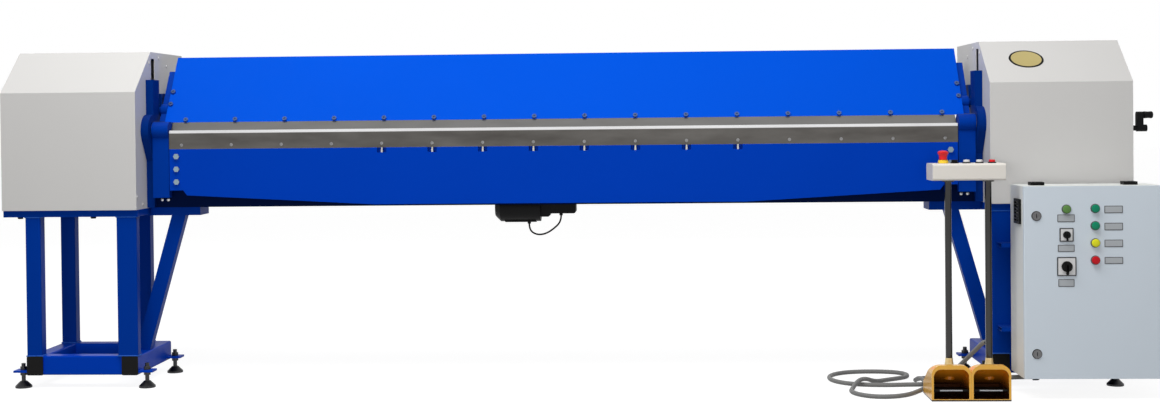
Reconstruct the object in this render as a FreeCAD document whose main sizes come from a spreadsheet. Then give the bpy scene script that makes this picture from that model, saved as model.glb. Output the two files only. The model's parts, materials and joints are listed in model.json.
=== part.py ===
import FreeCAD, Part
import math
import os
import re
import Sketcher

# Electric sheet metal folder, 3.1 m wide, on two stands, with its switch cabinet and foot pendant.
# Millimetres. While it is drawn, X = 0 is the middle of the machine, Y = 0 the line that the
# folding beam turns about, Z = 0 the floor, and -Y faces the operator. At the end every
# sub-part is moved by one shift, so that the origin lies under the middle of the whole machine.

doc = FreeCAD.newDocument("SheetMetalFolder")

# Driving sizes.
SIZES = {
    # folding line and overall layout
    "hinge_height": 1010,
    "blade_half": 1549,
    "blade_end_room": 71,
    "frame_thickness": 30,
    "housing_width": 536,
    "sheet_gauge": 3,
    "seat_gap": 0.3,
    "running_gap": 0.05,
    # stand
    "base_bottom": 52,
    "base_tube_width": 65,
    "base_tube_height": 75,
    "base_cross_width": 60,
    "base_outer_setback": 85,
    "base_inner_setback": 7,
    "base_front": -108,
    "base_rear": 292,
    "tube_wall": 4,
    "tube_corner": 6,
    "leg_width": 60,
    "leg_depth": 50,
    "front_inner_leg_width": 80,
    "front_inner_leg_depth": 40,
    "rear_leg_shift": 125,
    "stand_drop": 335,
    "top_thickness": 26,
    "top_front": -110,
    "top_rear": 462,
    "top_bar_width": 80,
    "jack_bar_width": 120,
    "pedestal_bar_width": 120,
    "top_bolt_radius": 10.5,
    "top_bolt_head": 7,
    "top_bolt_setback": 15,
    "top_bolt_outer_gap": 23,
    "top_bolt_inner_gap": 12,
    "arm_length": 200,
    "arm_front": 50,
    "arm_width": 116,
    "arm_drop": 6,
    "arm_rise": 2,
    "brace_width": 40,
    "brace_thickness": 55,
    "brace_top_inset": 88,
    "brace_foot_inset": 35,
    "cap_thickness": 3,
    "ear_length": 54,
    "ear_width": 60,
    "ear_rise": 10,
    "ear_thickness": 8,
    "foot_offset": 26,
    "foot_front_inset": 28,
    "foot_rear_inset": 27,
    "foot_radius": 32,
    "foot_rim": 7,
    "foot_neck_radius": 13,
    "foot_neck_height": 26,
    "stud_radius": 8,
    "stud_rise": 34,
    "nut_radius": 13.8,
    "nut_height": 13,
    # side frames
    "frame_front": 3,
    "frame_rear": 345,
    "nose_radius": 64,
    "nose_start_drop": 120,
    "front_column_rise": 203,
    "rear_column_rise": 150,
    "rear_shoulder_drop": 10,
    "rear_slope_depth": 15,
    "pin_along": 92,
    "pin_rise": 82,
    "pin_radius": 13,
    "pin_slot_half": 15,
    "pin_slot_drop": 22,
    "bush_radius": 32.5,
    "bush_length": 40,
    "hinge_shaft_radius": 25,
    "shaft_end_gap": 7,
    # cross shaft and lifting screws
    "drive_along": 235,
    "drive_rise": 34,
    "drive_radius": 15,
    "drive_opening": 24,
    "coupling_radius": 23,
    "coupling_length": 80,
    "coupling_inset": 220,
    "lift_screw_offset": 100,
    "lift_screw_radius": 15,
    "lift_screw_seat": 27,
    "lift_screw_headroom": 9,
    "jack_half": 50,
    "jack_rise": 55,
    "jack_corner": 10,
    "gear_small": 16,
    "gear_large": 27,
    "gear_gap": 0.5,
    "pinion_room_gap": 2,
    "wheel_room_gap": 6,
    "nut_block_half": 25,
    "nut_block_front_reach": 22,
    "nut_block_rear_reach": 27,
    "nut_block_rise": 30,
    # housings
    "housing_front": -123,
    "housing_fold_rise": 153,
    "housing_top_edge": 65,
    "housing_rise": 317,
    "housing_rear": 464,
    "housing_lip": 15,
    "housing_slot_half": 22,
    "housing_slot_drop": 27,
    "housing_slot_margin": 27,
    "shaft_opening": 38,
    "panel_screw_radius": 6,
    "panel_screw_head": 3,
    "wall_screw_radius": 6,
    "wall_screw_head": 3,
    "wall_screw_shank": 3,
    "top_screw_drop": 22,
    "top_screw_setback": 99,
    "rear_screw_drop": 52,
    "rear_screw_setback": 198,
    "slope_screw_drop": 45,
    "slope_screw_lead": 18,
    "front_screw_setback": 9,
    "front_screw_rise": 51,
    "foot_screw_setback": 76,
    "foot_screw_rise": 19,
    # bed
    "bed_front": 23,
    "bed_plate": 15,
    "bed_shelf": 20,
    "bed_rear": 325,
    "bed_foot_depth": 112,
    "bed_shelf_drop": 10,
    "bed_screw_inset": 25,
    "bed_screw_rise": 31,
    "blade_thickness": 30,
    "bed_blade_rear": 80,
    # upper beam
    "beam_overhang": 36,
    "beam_wall": 12,
    "beam_rise": 32,
    "beam_height": 267,
    "beam_front_foot": 33,
    "beam_front_top": 214,
    "beam_rear_top": 300,
    "beam_rear_foot": 120,
    "beam_bottom_rear": 95,
    "beam_rear_rise": 18,
    "clamp_blade_tip": 0.3,
    "clamp_blade_heel": 60,
    "lift_plate_thickness": 27,
    "lift_plate_setback": 15,
    "lift_plate_rise": 4,
    "lift_plate_foot_overhang": 15,
    "lift_plate_drop": 58,
    "lift_plate_rear": 268,
    "lift_plate_boss": 25,
    "clamp_screw_rise": 9,
    "clamp_screw_radius": 9,
    "clamp_screw_head": 7,
    "clamp_screw_shank": 3.5,
    "clamp_screw_depth": 8,
    "strip_screw_inset": 11,
    "strip_screw_rise": 73,
    "strip_screw_pitch": 50,
    "blade_screw_inset": 49,
    # folding beam
    "apron_front": -24,
    "apron_thickness": 14,
    "apron_top_drop": 74,
    "apron_corner_rise": 61,
    "apron_step_rise": 41,
    "apron_drop": 299,
    "apron_notch_width": 54,
    "apron_step_width": 15,
    "apron_flat": 730,
    "rib_depth": 14,
    "rib_headroom": 5,
    "rib_thickness": 14,
    "rib_end_room": 30,
    "blade_lip": 26,
    "fold_screw_rise": 16,
    "fold_screw_radius": 6,
    "fold_screw_shank": 4,
    "fold_screw_depth": 8,
    "fold_screw_clearance": 0.3,
    "fold_screw_recess": 1,
    "fold_screw_socket": 5,
    "crown_pocket_width": 36,
    "crown_pocket_height": 20,
    "crown_pitch": 200,
    "crown_first": 100,
    "crown_head_radius": 6.6,
    "crown_head_height": 12,
    "crown_stud_radius": 4.5,
    "hinge_arm_gap": 3,
    "hinge_arm_clearance": 2,
    "hinge_arm_front": -20,
    "hinge_arm_rear": 14,
    "hinge_arm_rise": 32,
    "hinge_hub_radius": 35,
    "apron_bolt_inset": 29,
    "apron_bolt_rise": 95,
    "apron_bolt_pitch": 50.5,
    "apron_bolt_radius": 12,
    "apron_bolt_head": 8,
    "apron_bolt_shank": 7,
    "apron_bolt_depth": 16,
    # folding gearmotors
    "fold_box_gap": 150,
    "fold_box_width": 160,
    "fold_box_front": -85,
    "fold_box_rear": 95,
    "fold_box_drop": 100,
    "fold_box_rise": 102,
    "fold_motor_radius": 80,
    "fold_motor_rise": 92,
    "fold_motor_rear": 400,
    "fold_box_corner": 14,
    "fan_cover_length": 60,
    "fan_cover_rim": 4,
    "terminal_box_width": 90,
    "terminal_box_setback": 60,
    "terminal_box_length": 110,
    "terminal_box_rise": 42,
    "hinge_shaft_overhang": 6,
    "pedestal_width": 80,
    "pedestal_half_depth": 60,
    "pedestal_flange": 20,
    # clamping gearmotor
    "clamp_box_left": -96,
    "clamp_box_step": -51,
    "clamp_box_right": 54,
    "clamp_box_half": 41,
    "clamp_sump_drop": 92,
    "clamp_box_drop": 79,
    "clamp_box_rise": 43,
    "clamp_box_corner": 10,
    "clamp_motor_radius": 62,
    "clamp_motor_drop": 50,
    "clamp_motor_end": -277,
    "clamp_motor_taper": 22,
    "clamp_shaft_room": 3,
    "bracket_thickness": 10,
    "bracket_left": -80,
    "bracket_right": 30,
    "bracket_lip": 4,
    "bed_screw_cover": 2,
    # crank
    "crank_along": 25,
    "crank_drop": 27,
    "crank_shaft_radius": 10,
    "crank_shaft_inset": 36,
    "crank_flange_radius": 26,
    "crank_flange_thickness": 14,
    "crank_arm_gap": 59,
    "crank_arm_thickness": 24,
    "crank_arm_half": 13,
    "crank_throw": 51,
    "crank_hub_radius": 13.5,
    "crank_hub_rise": 15,
    "grip_radius": 14,
    "grip_length": 38,
    "grip_pin_radius": 5,
    "grip_cap": 6,
    "collar_radius": 20,
    "collar_length": 12,
    # switch cabinet
    "cabinet_reach": 476,
    "cabinet_width": 500,
    "cabinet_bottom": 78,
    "cabinet_height": 700,
    "cabinet_depth": 200,
    "cabinet_standoff": 73,
    "door_depth": 18,
    "cabinet_sheet": 2.5,
    "cabinet_rim": 24,
    "door_axis_side": 7,
    "door_axis_depth": 16,
    "knuckle_radius": 6,
    "knuckle_height": 25,
    "door_pin_radius": 3,
    "hinge_leaf_depth": 30,
    "hinge_leaf_setback": 2,
    "hinge_low_rise": 102,
    "hinge_middle_rise": 337,
    "hinge_high_drop": 123,
    "vent_front_inset": 38,
    "vent_rear_inset": 83,
    "vent_height": 91,
    "vent_drop": 48,
    "vent_depth": 8,
    "vent_margin": 8,
    "vent_slot_margin": 10,
    "vent_slot_height": 6,
    "pad_left_inset": 72,
    "pad_right_inset": 90,
    "pad_setback": 94,
    "pad_half": 25,
    "pad_height": 12,
    "pad_corner": 5,
    "gland_inset": 90,
    "gland_setback": 19,
    "gland_radius": 13,
    "elbow_length": 15,
    "elbow_drop": 24,
    "lock_inset": 45,
    "lock_low_rise": 91,
    "lock_high_drop": 107,
    "lock_radius": 15.5,
    "lock_head": 4,
    "lock_barrel": 8,
    "cam_length": 42,
    "cam_width": 14,
    "cam_thickness": 3,
    "cam_setback": 5,
    "key_slot_width": 3,
    "key_slot_length": 14,
    "key_slot_depth": 3,
    "column_inset": 255,
    "pilot_inset": 152,
    "pilot_drop": 83,
    "lamp_drop": 81,
    "lamp_pitch": 62.5,
    "bezel_radius": 16.5,
    "bezel_depth": 5,
    "lens_radius": 14,
    "lens_depth": 11,
    "barrel_radius": 11,
    "barrel_depth": 40,
    "selector_drop": 176,
    "selector_plate": 50,
    "main_drop": 291,
    "main_plate": 69,
    "switch_plate_depth": 4,
    "switch_plate_corner": 3,
    "selector_radius": 13,
    "main_radius": 19,
    "knob_depth": 14,
    "pointer_width": 8,
    "pointer_depth": 6,
    "pointer_corner": 2,
    "pointer_inset": 1,
    "spindle_radius": 4,
    "rail_inset": 18,
    "rail_high_rise": 461,
    "rail_low_rise": 144,
    "rail_height": 16,
    "rail_wall": 3,
    "plate_gap": 8,
    "plate_inset": 40,
    "plate_thickness": 3,
    "plate_stud_radius": 5,
    "contactor_drop": 200,
    "contactor_row_pitch": 150,
    "contactor_inset": 90,
    "contactor_pitch": 66,
    "contactor_width": 45,
    "contactor_depth": 75,
    "contactor_height": 80,
    "transformer_width": 110,
    "transformer_depth": 90,
    "transformer_rise": 90,
    "transformer_height": 100,
    # pendant
    "box_shift": 19,
    "box_length": 266,
    "box_half_depth": 60,
    "box_bottom": 800,
    "box_height": 62,
    "box_wall": 4,
    "box_corner": 8,
    "box_end_plate": 5,
    "post_left_inset": 86,
    "post_right_inset": 233,
    "post_setback": 53,
    "post_radius": 12.5,
    "post_wall": 2,
    "post_flange_radius": 22,
    "post_flange_height": 6,
    "post_bottom": 74,
    "hood_reach": 339,
    "hood_width": 143,
    "hood_front": -400,
    "hood_length": 168,
    "hood_top": 131,
    "hood_rear_height": 46,
    "hood_brow": 26,
    "hood_wall": 8,
    "hood_arch": 35,
    "hood_roof": 15,
    "hood_room_rise": 4,
    "hood_floor": 8,
    "hood_boss_radius": 20,
    "hood_boss_drop": 19,
    "post_seat": 12,
    "treadle_front_inset": 6,
    "treadle_hinge_inset": 18,
    "treadle_hinge_height": 19,
    "treadle_barrel": 6,
    "treadle_pin": 4,
    "treadle_pin_reach": 5,
    "treadle_front_top": 42,
    "treadle_thickness": 6,
    "treadle_side_gap": 1,
    "estop_inset": 50,
    "estop_radius": 20,
    "estop_rise": 48,
    "estop_head": 12,
    "estop_crown": 3,
    "estop_bevel": 4,
    "estop_neck_radius": 14.5,
    "estop_collar_radius": 18,
    "estop_collar_height": 13,
    "estop_travel": 5,
    "button_radius": 11.5,
    "button_rise": 9,
    "button_travel": 4,
    "ring_radius": 15,
    "ring_height": 4,
    "stem_radius": 6,
    "stem_gap": 1,
    "stem_depth": 20,
    "black_inset": 92,
    "left_white_inset": 136,
    "right_white_inset": 183,
    "red_inset": 229,
    "hose_radius": 8.7,
    "hose_lift": 0.3,
    "hose_crossing_gap": 3.5,
    "hose_gland_height": 193,
    "hose_gland_length": 16,
    "hose_gland_radius": 13,
    "hose_gland_seat": 20,
    "motor_cable_radius": 3.5,
    "cable_gland_radius": 7,
    "cable_gland_length": 10,
    "cable_reach": 44,
    "cable_end": -9,
}

sheet = doc.addObject("Spreadsheet::Sheet", "Sizes")
for row, (alias, size) in enumerate(SIZES.items(), start=1):
    sheet.set(f"A{row}", alias)
    sheet.set(f"B{row}", str(size))
    sheet.setAlias(f"B{row}", alias)

# Places worked out from the driving sizes.
PLACES = {
    # overall layout
    "frame_inner": "blade_half + blade_end_room",
    # stand
    "top_bottom": "hinge_height - stand_drop",
    "base_outer": "housing_outer - base_outer_setback",
    "base_inner": "frame_outer + base_inner_setback",
    "rear_inner_leg_outer": "base_inner + rear_leg_shift",
    "pedestal_bar_start": "fold_drive_middle - pedestal_bar_width / 2",
    "arm_reach": "frame_outer - arm_length",
    "arm_rear": "arm_front + arm_width",
    "arm_bottom": "top_bottom - arm_drop",
    "arm_top": "top_top + arm_rise",
    "brace_front": "arm_front",
    "brace_rear": "brace_front + brace_width",
    "brace_top_middle": "arm_reach + brace_top_inset",
    "brace_foot_middle": "base_inner + brace_foot_inset",
    "ear_bottom": "base_bottom + ear_rise",
    "foot_outer": "base_outer + foot_offset",
    "foot_inner": "base_inner - foot_offset",
    "foot_front": "base_front + foot_front_inset",
    "foot_rear": "base_rear - foot_rear_inset",
    "stud_top": "ear_bottom + stud_rise",
    # side frames
    "front_column_top": "hinge_height + front_column_rise",
    "rear_column_top": "hinge_height + rear_column_rise",
    "rear_shoulder": "hinge_height - rear_shoulder_drop",
    "rear_top_edge": "frame_rear - rear_slope_depth",
    "pin_height": "hinge_height + pin_rise",
    "pin_slot_bottom": "pin_height - pin_slot_drop",
    "bush_end": "frame_inner + bush_length",
    "hinge_shaft_start": "blade_half + shaft_end_gap",
    # lifting drive
    "drive_height": "top_top + drive_rise",
    "coupling_middle": "frame_inner - coupling_inset",
    "lift_screw_reach": "frame_inner + lift_screw_offset",
    "lift_screw_bottom": "drive_height - lift_screw_seat",
    "lift_screw_top": "housing_top - lift_screw_headroom",
    "jack_top": "drive_height + jack_rise",
    "nut_block_start": "lift_screw_reach - nut_block_half",
    "nut_block_end": "lift_screw_reach + nut_block_half",
    "nut_block_front": "pin_along - nut_block_front_reach",
    "nut_block_rear": "drive_along + nut_block_rear_reach",
    "nut_block_bottom": "pin_height - nut_block_rise",
    "nut_block_top": "pin_height + nut_block_rise",
    # housings
    "housing_bottom": "top_top",
    "housing_fold": "hinge_height + housing_fold_rise",
    "housing_top": "hinge_height + housing_rise",
    "housing_slot_front": "pin_along - housing_slot_half",
    "housing_slot_rear": "pin_along + housing_slot_half",
    "housing_slot_bottom": "pin_height - housing_slot_drop",
    "housing_slot_top": "housing_top - housing_slot_margin",
    # bed
    "bed_screw_outer": "frame_inner - bed_screw_inset",
    "bed_screw_inner": "bed_screw_outer - bed_screw_inset",
    "bed_screw_height": "bed_bottom + bed_screw_rise",
    # upper beam
    "beam_half": "blade_half + beam_overhang",
    "beam_bottom": "hinge_height + beam_rise",
    "beam_top": "beam_bottom + beam_height",
    "lift_plate_top": "beam_top - lift_plate_drop",
    "strip_screw_reach": "beam_half - strip_screw_inset",
    "strip_screw_low": "beam_bottom + strip_screw_rise",
    "strip_screw_high": "strip_screw_low + strip_screw_pitch",
    # blade screws
    "blade_screw_first": "-(blade_half - blade_screw_inset)",
    "blade_screw_pitch": "2 * (blade_half - blade_screw_inset) / blade_screw_steps",
    # folding beam
    "apron_top": "hinge_height - apron_top_drop",
    "apron_bottom": "hinge_height - apron_drop",
    "apron_corner_height": "apron_bottom + apron_corner_rise",
    "apron_step_height": "apron_bottom + apron_step_rise",
    "apron_notch": "blade_half - apron_notch_width",
    "apron_taper_start": "apron_notch - apron_step_width",
    "backbone_top": "hinge_height - blade_lip",
    "rib_pitch": "(apron_notch - rib_end_room) / rib_steps",
    "fold_screw_height": "apron_top + fold_screw_rise",
    "arm_inner": "blade_half + hinge_arm_gap",
    "arm_outer": "frame_inner - hinge_arm_clearance",
    "hinge_arm_bottom": "apron_bottom + hinge_arm_rise",
    "apron_bolt_reach": "blade_half - apron_bolt_inset",
    "apron_bolt_low": "apron_bottom + apron_bolt_rise",
    "apron_bolt_middle": "apron_bolt_low + apron_bolt_pitch",
    "apron_bolt_high": "apron_bolt_middle + apron_bolt_pitch",
    # gearmotors
    "fold_box_start": "frame_outer + fold_box_gap",
    "fold_box_end": "fold_box_start + fold_box_width",
    "fold_box_bottom": "hinge_height - fold_box_drop",
    "fold_box_top": "hinge_height + fold_box_rise",
    "fold_motor_height": "hinge_height + fold_motor_rise",
    "pedestal_start": "fold_drive_middle - pedestal_width / 2",
    "pedestal_end": "fold_drive_middle + pedestal_width / 2",
    "clamp_box_low": "drive_height - clamp_sump_drop",
    "clamp_box_bottom": "drive_height - clamp_box_drop",
    "clamp_box_top": "drive_height + clamp_box_rise",
    "clamp_motor_height": "drive_height - clamp_motor_drop",
    "clamp_box_front": "drive_along - clamp_box_half",
    "clamp_box_rear": "drive_along + clamp_box_half",
    "bracket_bottom": "bed_bottom",
    # crank
    "crank_height": "hinge_height - crank_drop",
    "crank_shaft_start": "housing_outer - crank_shaft_inset",
    "crank_arm_start": "housing_outer + crank_arm_gap",
    "crank_hub_end": "crank_arm_end + crank_hub_rise",
    "grip_end": "crank_arm_end + grip_length",
    # switch cabinet
    "cabinet_left": "housing_outer - cabinet_reach",
    "cabinet_right": "cabinet_left + cabinet_width",
    "cabinet_top": "cabinet_bottom + cabinet_height",
    "cabinet_rear": "base_front - cabinet_standoff",
    "cabinet_front": "cabinet_rear - cabinet_depth",
    "hinge_low": "cabinet_bottom + hinge_low_rise",
    "hinge_middle": "cabinet_bottom + hinge_middle_rise",
    "hinge_high": "cabinet_top - hinge_high_drop",
    "vent_front": "cabinet_front + vent_front_inset",
    "vent_rear": "cabinet_rear - vent_rear_inset",
    "vent_top": "cabinet_top - vent_drop",
    "vent_bottom": "vent_top - vent_height",
    "pad_left": "cabinet_left + pad_left_inset",
    "pad_right": "cabinet_right - pad_right_inset",
    "pad_along": "cabinet_rear - pad_setback",
    "gland_reach": "cabinet_left + gland_inset",
    "gland_along": "cabinet_rear - gland_setback",
    "lock_reach": "cabinet_left + lock_inset",
    "lock_low": "cabinet_bottom + lock_low_rise",
    "lock_high": "cabinet_top - lock_high_drop",
    "column_reach": "cabinet_left + column_inset",
    "pilot_reach": "cabinet_left + pilot_inset",
    "pilot_height": "cabinet_top - pilot_drop",
    "lamp_top": "cabinet_top - lamp_drop",
    "lamp_second": "lamp_top - lamp_pitch",
    "lamp_third": "lamp_second - lamp_pitch",
    "lamp_fourth": "lamp_third - lamp_pitch",
    "selector_height": "cabinet_top - selector_drop",
    "main_height": "cabinet_top - main_drop",
    "rail_left": "base_inner + rail_inset",
    "rail_high": "cabinet_bottom + rail_high_rise",
    "rail_low": "cabinet_bottom + rail_low_rise",
    # pendant
    "box_left": "hood_left + box_shift",
    "box_right": "box_left + box_length",
    "box_front": "post_along - box_half_depth",
    "box_rear": "post_along + box_half_depth",
    "post_left": "hood_left + post_left_inset",
    "post_right": "hood_left + post_right_inset",
    "post_along": "hood_rear - post_setback",
    "hood_left": "cabinet_left - hood_reach",
    "hood_rear": "hood_front + hood_length",
    "hood_boss_top": "hood_top - hood_boss_drop",
    "hood_boss_bottom": "post_bottom - post_seat",
    "treadle_front": "hood_front + treadle_front_inset",
    "treadle_hinge_along": "hood_rear - treadle_hinge_inset",
    "button_along": "post_along",
    "estop_reach": "box_left + estop_inset",
    "estop_top": "box_top + estop_rise",
    "black_reach": "box_left + black_inset",
    "left_white_reach": "box_left + left_white_inset",
    "right_white_reach": "box_left + right_white_inset",
    "red_reach": "box_left + red_inset",
    "cable_start": "clamp_box_left - cable_reach",
    "bed_top": "hinge_height - blade_thickness",
    # slopes, wall offsets and the shift to the origin
    "fold_drive_middle": "(fold_box_start + fold_box_end) / 2",
    "frame_outer": "frame_inner + frame_thickness",
    "housing_inner": "frame_outer",
    "housing_outer": "housing_inner + housing_width",
    "housing_back": "housing_rear + sheet_gauge + panel_screw_head",
    "crank_grip_extent": "grip_end",
    "shift_x": "(housing_outer - crank_grip_extent) / 2",
    "shift_y": "-(hood_front + housing_back) / 2",
    "base_top": "base_bottom + base_tube_height",
    "top_top": "top_bottom + top_thickness",
    "slot_front": "pin_along - pin_slot_half",
    "slot_rear": "pin_along + pin_slot_half",
    "nose_sine": "nose_radius / nose_start_drop",
    "nose_cosine": "sqrt(1 - nose_sine * nose_sine)",
    "cap_inset": "tube_wall + seat_gap",
    "brace_half": "brace_thickness / 2 * sqrt(1 + brace_lean * brace_lean)",
    "brace_lean": "(brace_foot_middle - brace_top_middle) / (arm_bottom - base_top)",
    "roof_slope": "(housing_top - housing_fold) / (housing_top_edge - housing_front)",
    "roof_drop": "sheet_gauge * sqrt(1 + roof_slope * roof_slope)",
    "inner_fold": "housing_fold + sheet_gauge * roof_slope - roof_drop",
    "inner_top": "housing_top - sheet_gauge",
    "inner_top_edge": "housing_front + (inner_top - housing_fold + roof_drop) / roof_slope",
    "bed_shelf_bottom": "bed_top - bed_shelf",
    "bed_bottom": "arm_top",
    "bed_foot_rear": "bed_front + bed_foot_depth",
    "bed_rear_foot_top": "bed_shelf_bottom - bed_shelf_drop",
    "bed_lean": "(bed_rear - bed_foot_rear) / (bed_rear_foot_top - bed_bottom)",
    "bed_skew": "bed_plate * sqrt(1 + bed_lean * bed_lean)",
    "front_lean": "(beam_front_top - beam_front_foot) / (beam_top - beam_bottom)",
    "front_skew": "beam_wall * sqrt(1 + front_lean * front_lean)",
    "rear_foot_height": "beam_bottom + beam_rear_rise",
    "rear_lean": "(beam_rear_top - beam_rear_foot) / (beam_top - rear_foot_height)",
    "rear_skew": "beam_wall * sqrt(1 + rear_lean * rear_lean)",
    "clamp_blade_bottom": "hinge_height + seat_gap",
    "clamp_blade_top": "beam_bottom",
    "blade_screw_steps": "15",
    "rib_steps": "5",
    "lift_plate_outer": "beam_half + lift_plate_thickness",
    "apron_rear": "apron_front + apron_thickness",
    "backbone_rear": "0",
    "rib_rear": "rib_depth",
    "rib_top": "bed_blade_bottom - rib_headroom",
    "tongue_inner": "apron_taper_start",
    "bed_blade_bottom": "hinge_height - blade_thickness",
    "cabinet_body_front": "cabinet_front + door_depth",
    "door_axis_x": "cabinet_right + door_axis_side",
    "door_axis_y": "cabinet_front + door_axis_depth",
    "box_top": "box_bottom + box_height",
    "grip_height": "crank_height + crank_throw",
    "crank_arm_end": "crank_arm_start + crank_arm_thickness",
    "jack_start": "lift_screw_reach - jack_half",
    "jack_end": "lift_screw_reach + jack_half",
    "door_back": "cabinet_body_front",
    "plate_back": "cabinet_rear - cabinet_sheet - plate_gap",
}

places = doc.addObject("App::VarSet", "Places")
for place in PLACES:
    places.addProperty("App::PropertyFloat", place, "Places")


def full(text):
    """Say where each word of a formula is kept: with the sizes or with the places."""
    def home(match):
        word = match.group(0)
        if word in PLACES:
            return "Places." + word
        if word in SIZES:
            return "Sizes." + word
        return word
    return re.sub(r"[a-z_]+", home, str(text))


for place, formula in PLACES.items():
    places.setExpression(place, full(formula))
doc.recompute()


def number(word):
    """Read a size or a place as a plain number."""
    if word in PLACES:
        return getattr(places, word)
    return float(sheet.get(word))


# Drawing helpers.
AXES = {"x": FreeCAD.Vector(1, 0, 0), "y": FreeCAD.Vector(0, 1, 0), "z": FreeCAD.Vector(0, 0, 1)}
PLANES = {"x": "YZ_Plane", "y": "XZ_Plane", "z": "XY_Plane"}
UPRIGHT = FreeCAD.Vector(0, 0, 1)


def bind(thing, prop, text):
    thing.setExpression(prop, full(text))


def put(thing, x, y, z, turn=None):
    """Turn a piece and hold its place by three formulas."""
    if turn is not None:
        thing.Placement = FreeCAD.Placement(FreeCAD.Vector(), turn)
    bind(thing, "Placement.Base.x", x)
    bind(thing, "Placement.Base.y", y)
    bind(thing, "Placement.Base.z", z)
    return thing


def block(label, x, y, z):
    """A plain box between two formulas along each axis."""
    piece = doc.addObject("Part::Box", label)
    for prop, (low, high) in zip(("Length", "Width", "Height"), (x, y, z)):
        bind(piece, prop, f"({high}) - ({low})")
    return put(piece, x[0], y[0], z[0])


def axis_point(axis, start, centre):
    """Put a place along an axis together with the two places across it."""
    first, second = centre
    return {"x": (start, first, second), "y": (first, start, second), "z": (first, second, start)}[axis]


def rod(label, axis, centre, span, radius):
    """A cylinder along an axis, from one formula to another."""
    piece = doc.addObject("Part::Cylinder", label)
    bind(piece, "Radius", radius)
    bind(piece, "Height", f"({span[1]}) - ({span[0]})")
    return put(piece, *axis_point(axis, span[0], centre), FreeCAD.Rotation(UPRIGHT, AXES[axis]))


def taper(label, axis, centre, span, radii):
    """A cone frustum along an axis."""
    piece = doc.addObject("Part::Cone", label)
    bind(piece, "Radius1", radii[0])
    bind(piece, "Radius2", radii[1])
    bind(piece, "Height", f"({span[1]}) - ({span[0]})")
    return put(piece, *axis_point(axis, span[0], centre), FreeCAD.Rotation(UPRIGHT, AXES[axis]))


def hexagon(label, axis, centre, span, radius):
    """A six-sided bar along an axis."""
    piece = doc.addObject("Part::Prism", label)
    piece.Polygon = 6
    bind(piece, "Circumradius", radius)
    bind(piece, "Height", f"({span[1]}) - ({span[0]})")
    return put(piece, *axis_point(axis, span[0], centre), FreeCAD.Rotation(UPRIGHT, AXES[axis]))


def join(label, *pieces):
    """Weld pieces into one solid."""
    piece = doc.addObject("Part::MultiFuse", label)
    piece.Shapes = list(pieces)
    piece.Refine = True
    return piece


def remove(label, base, *tools):
    """Cut tools out of a piece."""
    piece = doc.addObject("Part::Cut", label)
    piece.Base = base
    piece.Tool = tools[0] if len(tools) == 1 else join(label + "_openings", *tools)
    return piece


def common(label, first, second):
    """What two pieces share."""
    piece = doc.addObject("Part::Common", label)
    piece.Base = first
    piece.Tool = second
    return piece


def mirrored(label, piece):
    """The same piece on the other side of the machine."""
    other = doc.addObject("Part::Mirroring", label)
    other.Source = piece
    other.Normal = AXES["x"]
    return other


def both(label, piece):
    """A piece and its mirror image."""
    return [piece, mirrored(label + "_left", piece)]


def outline(body, label, axis, points):
    """A closed outline of straight lines, each corner held by two formulas."""
    sketch = body.newObject("Sketcher::SketchObject", label + "_outline")
    plane = [part for part in body.Origin.OriginFeatures if part.Role == PLANES[axis]][0]
    sketch.AttachmentSupport = [(plane, "")]
    sketch.MapMode = "FlatFace"
    count = len(points)
    turn = 2 * math.pi / count
    corners = [FreeCAD.Vector(math.cos(turn * i), math.sin(turn * i), 0) for i in range(count)]
    for i in range(count):
        sketch.addGeometry(Part.LineSegment(corners[i], corners[(i + 1) % count]))
    for i in range(count):
        sketch.addConstraint(Sketcher.Constraint("Coincident", i, 2, (i + 1) % count, 1))
    for i, point in enumerate(points):
        for kind, text in zip(("DistanceX", "DistanceY"), point):
            held = sketch.addConstraint(Sketcher.Constraint(kind, -1, 1, i, 1, 1.0))
            bind(sketch, f"Constraints[{held}]", text)
    return sketch


def long_edges(shape, axis):
    """Names of the straight edges that run along an axis."""
    names = []
    for count, edge in enumerate(shape.Edges, start=1):
        way = edge.Vertexes[-1].Point - edge.Vertexes[0].Point
        if way.Length > 0 and abs(abs(way.normalize().dot(AXES[axis])) - 1) < 1e-6:
            names.append(f"Edge{count}")
    return names


def section(label, axis, points, span, corner=None):
    """A body with one outline, padded along an axis, its long edges rounded if asked."""
    body = doc.addObject("PartDesign::Body", label)
    sketch = outline(body, label, axis, points)
    start = f"-({span[1]})" if axis == "y" else span[0]
    bind(sketch, "AttachmentOffset.Base.z", start)
    pad = body.newObject("PartDesign::Pad", label + "_pad")
    pad.Profile = sketch
    bind(pad, "Length", f"({span[1]}) - ({span[0]})")
    if corner is not None:
        doc.recompute()
        rounding = body.newObject("PartDesign::Fillet", label + "_rounding")
        rounding.Base = (pad, long_edges(pad.Shape, axis))
        bind(rounding, "Radius", corner)
    return body


def bar(label, axis, first, second, span, corner):
    """A rectangular bar along an axis with rounded long edges."""
    low, high = first
    near, far = second
    points = [(low, near), (high, near), (high, far), (low, far)]
    return section(label, axis, points, span, corner)


def tube(label, axis, first, second, span):
    """A rectangular steel tube along an axis."""
    low, high = first
    near, far = second
    wall = "tube_wall"
    inside = ((f"{low} + {wall}", f"{high} - {wall}"), (f"{near} + {wall}", f"{far} - {wall}"))
    limits = {"x": (span, *inside), "y": (inside[0], span, inside[1]), "z": (*inside, span)}[axis]
    outer = bar(label, axis, first, second, span, "tube_corner")
    return remove(label + "_hollow", outer, block(label + "_bore", *limits))


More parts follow.
